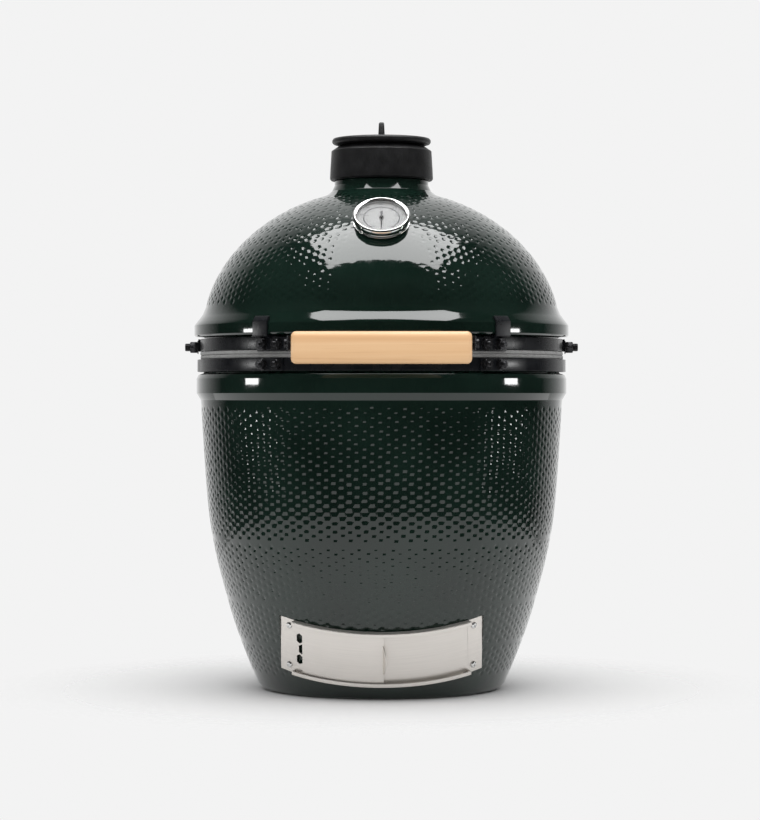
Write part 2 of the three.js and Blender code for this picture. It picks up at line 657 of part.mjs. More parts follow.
function capCollar() {
  const { bottom, top, radius, inner } = COLLAR;
  const shelf = NECK_TOP + GAP;
  const collar = turned([
    [inner, bottom], [radius - 2, bottom], [radius, bottom + 2.5], [radius - 0.6, bottom + 16],
    [74.6, 799.5], [63.5, top], [CHIMNEY_RADIUS + 2, top], [CHIMNEY_RADIUS + 2, shelf], [inner, shelf],
  ], SMALL_SIDES);
  return cut(collar, rod(4.5, [0, CAP.pivotY, shelf - 5], [0, CAP.pivotY, top + 5], 10));
}

function ventCutters(turn) {
  return Array.from({ length: VENTS.count }, (_, i) => {
    const angle = turn + (360 * i) / VENTS.count;
    const [start, end] = [angle - VENTS.width / 2, angle + VENTS.width / 2];
    const innerArc = arcPoints(VENTS.inner, start, end, 1);
    const outerArc = arcPoints(VENTS.outer, start, end, 3).reverse();
    return extruded([...innerArc, ...outerArc], CAP.floor - 20, CAP.floor + 20);
  });
}

const centreHole = (radius) => rod(radius, [0, 0, CAP.floor - 20], [0, 0, CAP.floor + 20], 12);

function capPlate() {
  const bottom = COLLAR.top + GAP;
  const plate = turned([
    [0, bottom], [CAP.seat, bottom], [71.6, bottom + 2.7], [CAP.radius, bottom + 5],
    [CAP.radius, CAP.top - 3], [71.8, CAP.top - 0.6], [69.5, CAP.top], [67.4, CAP.top - 2],
    [65.5, CAP.floor], [0, CAP.floor],
  ], SMALL_SIDES);
  const pivotHole = rod(4.5, [0, CAP.pivotY, bottom - 5], [0, CAP.pivotY, CAP.floor + 5], 10);
  return cut(plate, centreHole(4.6), pivotHole, ...ventCutters(0));
}

function capPivotBolt() {
  const line = (z) => [0, CAP.pivotY, z];
  const headStart = CAP.floor + GAP;
  const head = rod(7.4, line(headStart), line(headStart + 5), 6);
  return join(rod(4, line(NECK_TOP + GAP + 0.5), line(headStart + 1), 10), head);
}

// The vents are shut at rest: the rotor's holes stand midway between the plate's.
function ventRotor() {
  const bottom = CAP.floor + GAP;
  const top = bottom + ROTOR.thickness;
  const disc = rod(ROTOR.radius, [0, 0, bottom], [0, 0, top], SMALL_SIDES);
  const hub = rod(ROTOR.hub, [0, 0, bottom + 1], [0, 0, top + 3], 16);
  const stub = rod(4.1, [0, 0, CAP.floor - 4], [0, 0, bottom + 1], 12);
  const tab = sidePlate([
    [-42, top - 1], [-4, top - 1], [-8, top + 9], [-17, ROTOR.tabTop - 3], [-22, ROTOR.tabTop],
    [-31, ROTOR.tabTop], [-36, ROTOR.tabTop - 3], [-40, top + 10],
  ], -ROTOR.tabHalf, ROTOR.tabHalf);
  return join(cut(disc, ...ventCutters(180 / VENTS.count)), hub, stub, tab);
}

// ---- The grill ------------------------------------------------------------------------------

const gasketAt = (bottom) => ring(GASKET_RADIUS.inner, GASKET_RADIUS.outer, bottom, bottom + GASKET_HEIGHT);

const fireRing = turned([[194, 330], [212, 330], [226, 420], [207, 420]]);

const draftGroup = assembly(
  piece('draft_frame', draftFrame(), BRUSHED_STEEL),
  piece('draft_door', draftDoor(), BRUSHED_STEEL),
  piece('draft_screen', draftScreen(), BRUSHED_STEEL),
  screwPlaces.map((place, i) => piece(`draft_screw_${i + 1}`, draftScrew(place), BRIGHT_STEEL)),
);
draftGroup.applyMatrix4(draftPlace);

const base = assembly(
  piece('base_shell', baseShell(), GLAZE),
  piece('fire_box', fireBox(), FIRECLAY),
  piece('fire_ring', fireRing, FIRECLAY),
  piece('fire_grate', fireGrate(), CAST_IRON),
  piece('cooking_grid', cookingGrid(), BRUSHED_STEEL),
  piece('lower_gasket', gasketAt(BASE_TOP + GAP), FELT),
  lowerBand(),
  piece('hinge_lower_bracket', lowerHingeBracket(), BLACK_STEEL),
  piece('hinge_pin_right', hingePin(), ZINC_BLACK),
  piece('hinge_pin_left', leftOf(hingePin()), ZINC_BLACK),
  piece('hinge_spring_right', hingeSpring(SPRING.x), SPRING_STEEL),
  piece('hinge_spring_left', hingeSpring(-SPRING.x), SPRING_STEEL),
  hingeBolts('hinge_lower', BAND.lowerInner, 2, LOWER_BAND),
  draftGroup,
);

const cap = assembly(
  piece('cap_collar', capCollar(), CAST_IRON),
  piece('cap_gasket', ring(NECK_SPIGOT_RADIUS + 0.8, COLLAR.inner - GAP, 757, 796, SMALL_SIDES), FELT),
  piece('cap_pivot_bolt', capPivotBolt(), ZINC_BLACK),
  piece('cap_plate', capPlate(), CAST_IRON),
  piece('vent_rotor', ventRotor(), CAST_IRON),
);

const lid = assembly(
  piece('dome_shell', domeShell(), GLAZE),
  piece('upper_gasket', gasketAt(BASE_TOP + GASKET_HEIGHT + 2 * GAP), FELT),
  upperBand(),
  handle(),
  piece('hinge_upper_bracket', upperHingeBracket(), BLACK_STEEL),
  hingeBolts('hinge_upper', BAND.upperInner, 2, UPPER_BAND),
  gauge(),
  cap,
);

const grill = assembly(base, lid);

export default grill;
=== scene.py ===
"""Kamado ceramic grill: the looks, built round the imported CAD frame.

Metres, +Z up, the front faces -Y. Outlines come from the CAD nodes, so each piece goes where
the frame has it, and the detail of each piece is added here.
"""
import json
import math
import random

import bmesh
import bpy
import numpy as np
from mathutils import Matrix, Vector

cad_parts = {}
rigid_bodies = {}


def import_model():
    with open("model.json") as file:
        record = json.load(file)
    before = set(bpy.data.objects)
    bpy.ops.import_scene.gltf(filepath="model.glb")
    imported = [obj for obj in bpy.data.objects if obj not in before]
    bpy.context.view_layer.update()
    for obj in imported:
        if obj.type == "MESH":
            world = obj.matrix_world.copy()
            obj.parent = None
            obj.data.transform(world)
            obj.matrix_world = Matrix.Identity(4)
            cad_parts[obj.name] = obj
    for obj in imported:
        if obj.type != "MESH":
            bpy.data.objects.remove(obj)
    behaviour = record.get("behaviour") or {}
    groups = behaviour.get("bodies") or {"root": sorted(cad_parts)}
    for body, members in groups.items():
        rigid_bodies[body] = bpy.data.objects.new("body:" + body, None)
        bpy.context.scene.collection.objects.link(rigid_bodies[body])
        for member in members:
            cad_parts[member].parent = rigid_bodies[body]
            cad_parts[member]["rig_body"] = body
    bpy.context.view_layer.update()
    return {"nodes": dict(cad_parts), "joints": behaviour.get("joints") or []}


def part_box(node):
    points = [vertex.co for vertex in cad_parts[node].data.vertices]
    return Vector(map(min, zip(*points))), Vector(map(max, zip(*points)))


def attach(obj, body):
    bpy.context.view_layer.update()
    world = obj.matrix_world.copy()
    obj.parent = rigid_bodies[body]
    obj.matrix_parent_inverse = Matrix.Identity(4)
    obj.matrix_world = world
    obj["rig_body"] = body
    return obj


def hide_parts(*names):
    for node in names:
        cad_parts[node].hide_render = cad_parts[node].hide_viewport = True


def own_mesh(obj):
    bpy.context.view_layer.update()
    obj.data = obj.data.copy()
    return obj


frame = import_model()

# ---- Driving values ----

MM = 0.001
RING_STEPS = 240  # facets round the large turned pieces
SMALL_STEPS = 96  # facets round the small ones
FINE_STEPS = 720  # facets round the thin curved sheets
SMOOTH_ANGLE = 38  # edges sharper than this many degrees stay crisp
HANDS = {"right": 1, "left": -1}

# Dimples stand in staggered columns; the pitch is the distance up a column.
DIMPLE = {"pitch": 12.9 * MM, "rim": 5.3 * MM, "waist": 3.0 * MM, "depth": 1.15 * MM,
          "waist_share": 0.64, "jitter": 1.25 * MM}
ROW_CHANGE = 1.09  # a new count of dimples in a row where the pitch is this far out

BASE_DIMPLES = (12 * MM, 428.3 * MM)  # the heights between which a body is dimpled
DOME_DIMPLES = (556 * MM, 731 * MM)
GLAZE_ANGLE = 52  # edges of the dimples stay soft up to this
PATCH = {"height": 618 * MM, "half_width": 62 * MM, "half_height": 56 * MM, "fade": 0.35}
PORT = {"left": -104 * MM, "right": -8 * MM, "bottom": 38 * MM, "top": 86 * MM}
POT_PORT = (262 * MM, 95 * MM)  # how far ahead of the axis the port starts and ends
BOWL_PORT = (232 * MM, 45 * MM)
SEAT_GAP = {"radius": 0.3 * MM, "height": 0.4 * MM, "angle": 0.15}  # round the door's frame
STEM_HOLE = {"radius": 5 * MM, "low": -70 * MM, "high": 14 * MM}
GRATE_SLOTS = ((0, 10, 34 * MM, 62 * MM), (0.5, 20, 68 * MM, 97 * MM))  # offset, count, from, to
SLOT_HALF = 2.25 * MM
BRACKET = {"inner": 28.3, "finger": 35.1, "outer": 40.4}  # degrees from the front
GUSSET = {"rise": 3 * MM, "reach": 0.55, "steps": 10}
GRIP = {"ease": 7 * MM, "squareness": 3.6, "sides": 48}
GRIP_SCREW = {"shank": 3 * MM, "head": 6.5 * MM, "socket": 3.4 * MM, "depth": 2 * MM}
SPRING = {"rod": 4 * MM, "rod_inset": 9 * MM, "wire": 1.5 * MM, "turns": 24, "facets": 16}
PIVOT_PIN = 4 * MM
GRID = {"pitch": 13 * MM, "sides": 12}
DRAFT = {"seat": 210.3 * MM, "sheet": 1.6 * MM, "lip": 6 * MM, "hole": 2.4 * MM, "channel": 35.4,
         "window_left": -34.9, "window_right": -2.5, "window_half": 25 * MM,
         "door_sheet": 1.5 * MM, "screen_sheet": 1 * MM}
HOLE = {"high": 8.0 * MM, "shoulder": 4.8 * MM, "wide": 5.0 * MM, "rise": 16.5 * MM,
        "shift": 1, "first": 1.9, "pitch": 4}  # the screen's holes; the last three are in degrees
TAB = {"half": 22.5 * MM, "sheet": 1.4 * MM, "slant": 20}
DIAL_SCALE = {"start": 30, "sweep": 300, "marks": 40}
DIAL_RING = (24.6 * MM, 26.4 * MM)
TICK = {"long": (26.6 * MM, 0.28 * MM), "short": (27.6 * MM, 0.13 * MM), "end": 29.3 * MM}
FIGURES = ((32.3 * MM, 4.0 * MM, 100), (21.4 * MM, 3.3 * MM, 50))  # radius, size and step
VENTS = {"count": 5, "inner": 15 * MM, "outer": 38 * MM, "half": 15}
CAP_BOLT = {"stud": 4 * MM, "hole": 4.4 * MM, "nut": 12.8 * MM, "nut_height": 5 * MM}

BACKGROUND = 0.896  # the tone of the background and the lit floor
FLOOR_FADE = (0.2, 0.6)
ROOM = {"radius": 1.28, "height": 4.0, "open_from": 150, "fade": (0.35, 1.1)}
# the camera's shifts are shares of the picture's longer side
CAMERA = {"distance": 4.18, "height": 0.436, "lens": 122.93, "shift_x": -0.0018293,
          "shift_y": -0.0182927}

joints = {joint["name"]: joint for joint in frame["joints"]}
body_of = {node: obj["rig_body"] for node, obj in frame["nodes"].items()}

# ---- Reading the frame ----


def joint_place(name, along):
    """The frame of a joint: its point, and Z along its axis times the sign given."""
    joint = joints[name]
    z = (Vector(joint["axis"]) * along).normalized()
    x = Vector((1, 0, 0))
    y = z.cross(x)
    turn = Matrix((x, y, z)).transposed().to_4x4()
    return Matrix.Translation(Vector(joint["pos_m"])) @ turn


LEAN = joint_place("draft_door_slide", 1)  # the doors' leaning axis
DIAL = joint_place("needle_turn", -1)  # Z points out of the dial
CAP_PIVOT = Vector(joints["cap_swing"]["pos_m"])
FLAT = Matrix.Identity(4)
OUTWARDS = Matrix.Rotation(math.radians(90), 4, "X")  # Z of a piece points away from the axis
SIDEWAYS = Matrix(((0, 0, 1, 0), (1, 0, 0, 0), (0, 1, 0, 0), (0, 0, 0, 1)))  # Z points along X


def round_axis(radius, angle, height):
    """The point at a radius and height, at an angle in radians from the front."""
    return (radius * math.sin(angle), -radius * math.cos(angle), height)


def turn_z(degrees):
    return Matrix.Rotation(math.radians(degrees), 4, "Z")


def shifted(x, y, z):
    return Matrix.Translation((x, y, z))


def on_door(angle, height):
    """A frame on the air door's axis that looks outwards at an angle and height."""
    return LEAN @ shifted(0, 0, height) @ turn_z(angle) @ OUTWARDS


def across(hand, middle):
    """A frame through a place in the side view, with Z towards the hand's side."""
    return shifted(0, middle.y, middle.z) @ Matrix.Rotation(math.radians(90 * hand), 4, "Y")


def node_points(node, place=FLAT):
    """A CAD node's points in another frame, as an array."""
    points = np.array([v.co for v in frame["nodes"][node].data.vertices], float)
    back = np.array(place.inverted())
    return points @ back[:3, :3].T + back[:3, 3]


def node_span(node, place=FLAT):
    """The least and greatest radius, angle from the front in degrees, and height of a node."""
    points = node_points(node, place)
    radius = np.hypot(points[:, 0], points[:, 1])
    angle = np.degrees(np.arctan2(points[:, 0], -points[:, 1]))
    rows = [(float(v.min()), float(v.max())) for v in (radius, angle, points[:, 2])]
    return dict(zip(("radius", "angle", "height"), rows))


def outline_of(node, angle=180, place=FLAT, tolerance=0.15 * MM):
    """The closed (radius, height) outline of a turned node where a half plane from the axis cuts it."""
    points = node_points(node, place @ turn_z(angle))
    on_plane = {}
    for index, (x, y, z) in enumerate(points):
        if abs(x) < tolerance and -y > -tolerance:
            on_plane[index] = (round(float(-y), 5), round(float(z), 5))
    mesh = frame["nodes"][node].data
    caps = {}
    for face in mesh.polygons:
        if all(i in on_plane for i in face.vertices):
            ring = [on_plane[i] for i in face.vertices]
            for pair in zip(ring, ring[1:] + ring[:1]):
                caps[frozenset(pair)] = caps.get(frozenset(pair), 0) + 1
    if caps:
        pairs = [tuple(pair) for pair, uses in caps.items() if uses == 1]
    else:
        pairs = [tuple(on_plane.get(i) for i in edge.vertices) for edge in mesh.edges]
    links = {}
    for a, b in pairs:
        if a and b and a != b:
            links.setdefault(a, set()).add(b)
            links.setdefault(b, set()).add(a)
    loose = sorted((p for p, near in links.items() if len(near) == 1 and p[0] > 1e-5), key=lambda p: p[1])
    while loose:
        first = loose.pop(0)
        partner = next((p for p in loose if abs(p[1] - first[1]) < 1e-5), (0.0, first[1]))
        if partner in loose:
            loose.remove(partner)
        links[first].add(partner)
        links.setdefault(partner, set()).add(first)
    ends = [p for p, near in links.items() if len(near) == 1]
    if len(ends) == 2:
        links[ends[0]].add(ends[1])
        links[ends[1]].add(ends[0])
    return walk(links)


def walk(links):
    """The points of a closed chain in order, anticlockwise, from the lowest one nearest the axis."""
    start = min(links, key=lambda p: (p[1], p[0]))
    loop = [start]
    previous, here = None, start
    while True:
        onward = [p for p in sorted(links[here]) if p != previous]
        previous, here = here, onward[0]
        if here == start or len(loop) > len(links):
            break
        loop.append(here)
    area = sum(a[0] * b[1] - b[0] * a[1] for a, b in zip(loop, loop[1:] + loop[:1]))
    return loop if area > 0 else [loop[0]] + loop[:0:-1]


# ---- Outlines ----


def corner_turn(before, here, after):
    """How far a path turns at a point, in degrees."""
    a = math.atan2(here[1] - before[1], here[0] - before[0])
    b = math.atan2(after[1] - here[1], after[0] - here[0])
    return abs((math.degrees(b - a) + 180) % 360 - 180)


def rounded(outline, radius, least_turn=25, steps=4):
    """The outline with its corners rounded, each by no more than its edges allow."""
    result = []
    count = len(outline)
    for i, here in enumerate(outline):
        before = outline[i - 1]
        after = outline[(i + 1) % count]
        turn = corner_turn(before, here, after)
        if turn < least_turn or here[0] < 1e-6:
            result.append(here)
            continue
        p, a, b = Vector(here), Vector(before), Vector(after)
        back = radius * math.tan(math.radians(turn / 2))
        back = min(back, 0.45 * (a - p).length, 0.45 * (b - p).length)
        start = p + (a - p).normalized() * back
        end = p + (b - p).normalized() * back
        for step in range(steps + 1):
            t = step / steps
            point = start * (1 - t) ** 2 + p * 2 * t * (1 - t) + end * t * t
            result.append((point.x, point.y))
    return result


def smoothed(outline, corner=16, steps=4):
    """The outline with curved stretches between its corners, through its own points."""
    count = len(outline)
    points = [Vector(p) for p in outline]
    is_corner = [
        corner_turn(outline[i - 1], outline[i], outline[(i + 1) % count]) > corner
        or (points[i] - points[i - 1]).length < 5 * MM
        for i in range(count)
    ]
    result = []
    for i in range(count):
        a, b = points[i], points[(i + 1) % count]
        result.append(tuple(a))
        if (b - a).length < 12 * MM or (is_corner[i] and is_corner[(i + 1) % count]):
            continue
        span = b - a
        leave, arrive = span, span
        if not is_corner[i]:
            leave = (b - points[i - 1]).normalized() * span.length
        if not is_corner[(i + 1) % count]:
            arrive = (points[(i + 2) % count] - a).normalized() * span.length
        for step in range(1, steps):
            t = step / steps
            h = (2 * t**3 - 3 * t**2 + 1, t**3 - 2 * t**2 + t, 3 * t**2 - 2 * t**3, t**3 - t**2)
            result.append(tuple(a * h[0] + leave * h[1] + b * h[2] + arrive * h[3]))
    return result


def circle(radius, steps=32, x=0.0, y=0.0):
    angles = [2 * math.pi * i / steps for i in range(steps)]
    return [(x + radius * math.cos(angle), y + radius * math.sin(angle)) for angle in angles]


def oblong(left, right, low, high):
    return [(left, low), (right, low), (right, high), (left, high)]


# ---- Meshes ----


def placed(name, data):
    """An object of the data, in the scene."""
    obj = bpy.data.objects.new(name, data)
    bpy.context.scene.collection.objects.link(obj)
    return obj


def lofted(rings, closed=False):
    """Rings of points with the same count joined in order, into a loop or with two end faces."""
    size, count = len(rings[0]), len(rings)
    faces = []
    for layer in range(count if closed else count - 1):
        a, b = layer * size, (layer + 1) % count * size
        faces += [[a + i, a + (i + 1) % size, b + (i + 1) % size, b + i] for i in range(size)]
    if not closed:
        faces.append(list(range(size - 1, -1, -1)))
        faces.append([(count - 1) * size + i for i in range(size)])
    return [p for ring in rings for p in ring], faces


class Shape:
    """Points and faces being gathered for one piece, each face with the number of its material."""

    def __init__(self):
        self.points = []
        self.faces = []
        self.finishes = []

    def add(self, points, faces, finish=0, place=FLAT):
        start = len(self.points)
        self.points += [tuple(place @ Vector(p)) for p in points]
        self.faces += [tuple(start + i for i in face) for face in faces]
        self.finishes += [finish] * len(faces)
        return self

    def turned(self, outline, steps=RING_STEPS, start=0.0, end=360.0, finish=0, place=FLAT):
        """An outline of (radius, height) turned about Z, all round or between two angles."""
        whole = end - start >= 360
        count = steps if whole else max(2, math.ceil(steps * (end - start) / 360))
        rings = count if whole else count + 1
        size = len(outline)
        points = []
        for ring in range(rings):
            angle = math.radians(start + (end - start) * ring / count)
            points += [round_axis(r, angle, z) for r, z in outline]
        faces = []
        for ring in range(count):
            a, b = ring * size, ((ring + 1) % rings) * size
            for i in range(size):
                j = (i + 1) % size
                corners = [a + i, b + i, b + j, a + j]
                if outline[i][0] < 1e-7 and outline[j][0] < 1e-7:
                    continue
                faces.append(corners)
        if not whole:
            faces.append(list(range(size - 1, -1, -1)))
            faces.append([count * size + i for i in range(size)])
        return self.add(points, faces, finish, place)

    def plate(self, outline, low, high, bevel=0.0, finish=0, place=FLAT):
        """An outline of (x, y) extruded along Z, with its two rims bevelled."""
        inner = inset(outline, bevel) if bevel else outline
        layers = [(inner, low), (outline, low + bevel), (outline, high - bevel), (inner, high)]
        if not bevel:
            layers = [(outline, low), (outline, high)]
        rings = [[(x, y, z) for x, y in ring] for ring, z in layers]
        return self.add(*lofted(rings), finish, place)

    def tube(self, path, radius, sides=10, closed=False):
        """A round bar along a path of points."""
        line = [Vector(p) for p in path]
        count = len(line)
        rings = []
        side = None
        for i in range(count):
            after = line[(i + 1) % count] if closed else line[min(i + 1, count - 1)]
            along = (after - line[i - 1 if closed else max(i - 1, 0)]).normalized()
            if side is None:
                side = along.orthogonal().normalized()
            side = (side - along * side.dot(along)).normalized()
            other = along.cross(side)
            rings.append([line[i] + (side * math.cos(angle) + other * math.sin(angle)) * radius
                          for angle in (2 * math.pi * k / sides for k in range(sides))])
        return self.add(*lofted(rings, closed))

    def mirrored(self):
        """The same shape on the other side of X = 0."""
        other = Shape()
        other.points = [(-x, y, z) for x, y, z in self.points]
        other.faces = [tuple(reversed(face)) for face in self.faces]
        other.finishes = self.finishes
        return other

    def build(self, name, *materials, smooth=SMOOTH_ANGLE, weld=True):
        mesh = bpy.data.meshes.new(name)
        mesh.from_pydata(self.points, [], self.faces)
        for material in materials:
            mesh.materials.append(material)
        mesh.polygons.foreach_set("material_index", self.finishes)
        if weld:
            work = bmesh.new()
            work.from_mesh(mesh)
            bmesh.ops.remove_doubles(work, verts=work.verts, dist=1e-6)
            bmesh.ops.recalc_face_normals(work, faces=work.faces)
            work.to_mesh(mesh)
            work.free()
        obj = placed(name, mesh)
        crisp(obj, smooth)
        return obj


def crisp(obj, angle=SMOOTH_ANGLE):
    """Smooth shading, with a hard edge wherever faces meet at more than the angle."""
    obj.data.polygons.foreach_set("use_smooth", [True] * len(obj.data.polygons))
    obj.data.set_sharp_from_angle(angle=math.radians(angle))


def inset(outline, distance):
    """The outline moved inwards, for a bevelled rim."""
    count = len(outline)
    moved = []
    for i in range(count):
        before, here, after = (Vector(outline[k % count]) for k in (i - 1, i, i + 1))
        a, b = (here - before).normalized(), (after - here).normalized()
        normal = Vector((-a.y - b.y, a.x + b.x))
        normal = normal.normalized() if normal.length > 1e-9 else Vector((-a.y, a.x))
        stretch = min(2.0, 1 / max(0.3, normal.dot(Vector((-a.y, a.x)))))
        moved.append(tuple(here + normal * distance * stretch))
    return moved


def apply_modifiers(obj):
    """Gives an object the mesh that its modifiers make of its own."""
    bpy.context.view_layer.update()
    graph = bpy.context.evaluated_depsgraph_get()
    done = bpy.data.meshes.new_from_object(obj.evaluated_get(graph))
    obj.modifiers.clear()
    old = obj.data
    obj.data = done
    done.name = old.name
    bpy.data.meshes.remove(old)


def combined(target, cutters, operation="DIFFERENCE"):
    """Cuts or joins helper objects into the target and deletes them."""
    for cutter in cutters:
        step = target.modifiers.new("combine", "BOOLEAN")
        step.operation = operation
        step.solver = "MANIFOLD"
        step.object = cutter
    apply_modifiers(target)
    for cutter in cutters:
        bpy.data.objects.remove(cutter)
    return target


def stand_for(obj, *nodes):
    """A piece rides with its first CAD node's body and stands for the nodes, which are hidden."""
    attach(obj, body_of[nodes[0]])
    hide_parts(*nodes)
    return obj


# ---- Materials ----


class Finish:
    """A node material with the Principled shader, and short ways to add detail to it."""

    def __init__(self, name, color, roughness, metallic=0.0, **sockets):
        self.material = bpy.data.materials.new(name)
        self.material.use_nodes = True
        self.nodes = self.material.node_tree.nodes
        self.links = self.material.node_tree.links
        self.shader = self.nodes["Principled BSDF"]
        self.shader.inputs["Base Color"].default_value = (*color, 1)
        self.shader.inputs["Roughness"].default_value = roughness
        self.shader.inputs["Metallic"].default_value = metallic
        for socket, value in sockets.items():
            self.shader.inputs[socket.replace("_", " ")].default_value = value
        self.where = self.nodes.new("ShaderNodeTexCoord").outputs["Object"]

    def stretched(self, scale):
        """Object coordinates stretched, for a grain that runs one way."""
        mapping = self.nodes.new("ShaderNodeMapping")
        mapping.inputs["Scale"].default_value = scale
        self.links.new(self.where, mapping.inputs["Vector"])
        return mapping.outputs["Vector"]

    def noise(self, scale, detail, where=None, distortion=0.0):
        node = self.nodes.new("ShaderNodeTexNoise")
        node.inputs["Scale"].default_value = scale
        node.inputs["Detail"].default_value = detail
        node.inputs["Distortion"].default_value = distortion
        self.links.new(where or self.where, node.inputs["Vector"])
        return node.outputs["Fac"]

    def ramp(self, value, *stops):
        """Colours at places along a value."""
        node = self.nodes.new("ShaderNodeValToRGB")
        places = node.color_ramp.elements
        while len(places) < len(stops):
            places.new(0.5)
        for place, (at, color) in zip(places, stops):
            place.position = at
            place.color = (*color, 1)
        self.links.new(value, node.inputs["Fac"])
        return node.outputs["Color"]

    def spread(self, value, low, high, start=0.3, end=0.7):
        """A value moved from one range to another."""
        node = self.nodes.new("ShaderNodeMapRange")
        for socket, number in zip(("From Min", "From Max", "To Min", "To Max"), (start, end, low, high)):
            node.inputs[socket].default_value = number
        self.links.new(value, node.inputs["Value"])
        return node.outputs["Result"]

    def blend(self, factor, first, second):
        """One colour socket, with a plain colour over it by the factor."""
        node = self.nodes.new("ShaderNodeMix")
        node.data_type = "RGBA"
        under, over = (s for s in node.inputs if s.type == "RGBA")
        self.links.new(first, under)
        over.default_value = (*second, 1)
        self.links.new(factor, node.inputs["Factor"])
        return next(s for s in node.outputs if s.type == "RGBA")

    def color(self, socket):
        self.links.new(socket, self.shader.inputs["Base Color"])

    def mottled(self, scale, detail, dark, light):
        """Two tones of the base colour, in patches."""
        self.color(self.ramp(self.noise(scale, detail), (0.3, dark), (0.7, light)))

    def rough(self, value, low, high):
        self.links.new(self.spread(value, low, high), self.shader.inputs["Roughness"])

    def bump(self, height, depth, strength):
        """Fine relief of a depth in metres."""
        node = self.nodes.new("ShaderNodeBump")
        node.inputs["Distance"].default_value = depth
        node.inputs["Strength"].default_value = strength
        self.links.new(height, node.inputs["Height"])
        self.links.new(node.outputs["Normal"], self.shader.inputs["Normal"])
        return self


def glaze():
    f = Finish("green_glaze", (0.004, 0.02, 0.013), 0.07, Coat_Weight=0.5, Coat_Roughness=0.03)
    pool = f.noise(9, 3)
    fleck = f.noise(420, 2)
    deep = f.ramp(pool, (0.35, (0.003, 0.0085, 0.006)), (0.65, (0.0055, 0.0145, 0.0105)))
    f.color(f.blend(f.spread(fleck, 0.0, 0.3, 0.55, 0.75), deep, (0.01, 0.026, 0.018)))
    f.rough(f.noise(60, 3), 0.05, 0.1)
    return f.bump(f.noise(70, 2), 0.12 * MM, 0.5).material


def bare_clay():
    f = Finish("bare_clay", (0.62, 0.52, 0.4), 0.85)
    speck = f.noise(160, 6)
    f.color(f.ramp(speck, (0.3, (0.42, 0.33, 0.24)), (0.5, (0.6, 0.5, 0.38)), (0.75, (0.7, 0.61, 0.49))))
    f.rough(speck, 0.75, 0.95)
    return f.bump(f.noise(500, 5), 0.35 * MM, 0.7).material


def fireclay():
    f = Finish("fireclay", (0.66, 0.55, 0.41), 0.9)
    warm = f.ramp(f.noise(14, 5), (0.3, (0.5, 0.4, 0.29)), (0.7, (0.68, 0.58, 0.45)))
    f.color(f.blend(f.spread(f.noise(300, 3), 0.0, 0.5, 0.5, 0.7), warm, (0.36, 0.29, 0.22)))
    f.rough(f.noise(90, 3), 0.8, 0.97)
    return f.bump(f.noise(380, 6), 0.5 * MM, 0.8).material


def felt():
    f = Finish("grey_felt", (0.2, 0.2, 0.2), 0.97, Sheen_Weight=0.4, Sheen_Roughness=0.6)
    hair = f.noise(900, 5, f.stretched((1, 1, 3)), 1.5)
    f.color(f.ramp(hair, (0.3, (0.09, 0.09, 0.09)), (0.55, (0.22, 0.22, 0.215)),
                   (0.75, (0.42, 0.42, 0.41))))
    f.rough(hair, 0.9, 1.0)
    return f.bump(hair, 0.5 * MM, 1.0).material


def powder_coat():
    f = Finish("black_powder_coat", (0.007, 0.0075, 0.009), 0.25, Specular_IOR_Level=0.4)
    worn = f.noise(35, 4)
    f.color(f.ramp(worn, (0.3, (0.005, 0.0055, 0.007)), (0.7, (0.009, 0.01, 0.012))))
    f.rough(worn, 0.2, 0.33)
    return f.bump(f.noise(1100, 3), 0.05 * MM, 0.6).material


def black_zinc():
    f = Finish("black_zinc", (0.025, 0.025, 0.027), 0.3, 0.75)
    f.mottled(240, 3, (0.015, 0.015, 0.017), (0.05, 0.05, 0.053))
    f.rough(f.noise(400, 3), 0.2, 0.42)
    return f.bump(f.noise(900, 3), 0.04 * MM, 0.5).material


def cast_iron():
    f = Finish("cast_iron", (0.012, 0.012, 0.013), 0.45, 0.1)
    sand = f.noise(650, 6)
    f.mottled(60, 5, (0.004, 0.004, 0.0045), (0.011, 0.011, 0.012))
    f.rough(sand, 0.36, 0.6)
    return f.bump(sand, 0.28 * MM, 0.8).material


def brushed(name, color, along, low, high, place=FLAT):
    """Stainless sheet with a brushed grain; the grain is stretched along one direction."""
    f = Finish(name, color, (low + high) / 2, 0.85)
    turn = f.nodes.new("ShaderNodeMapping")
    turn.inputs["Rotation"].default_value = place.to_3x3().inverted().to_euler()
    f.links.new(f.where, turn.inputs["Vector"])
    f.where = turn.outputs["Vector"]
    grain = f.noise(1, 3, f.stretched(along))
    dim = tuple(c * 0.93 for c in color)
    f.color(f.ramp(grain, (0.3, dim), (0.7, color)))
    f.rough(grain, low, high)
    return f.bump(grain, 0.02 * MM, 0.5).material


def polished():
    f = Finish("polished_steel", (0.83, 0.83, 0.82), 0.1, 1.0)
    f.mottled(45, 3, (0.76, 0.76, 0.75), (0.87, 0.87, 0.86))
    f.rough(f.noise(300, 4), 0.06, 0.16)
    return f.bump(f.noise(700, 2), 0.008 * MM, 0.4).material


def spring_steel():
    f = Finish("zinc_spring_wire", (0.5, 0.5, 0.51), 0.3, 1.0)
    f.mottled(300, 4, (0.38, 0.38, 0.4), (0.62, 0.62, 0.62))
    f.rough(f.noise(500, 3), 0.22, 0.42)
    return f.bump(f.noise(1200, 2), 0.02 * MM, 0.5).material


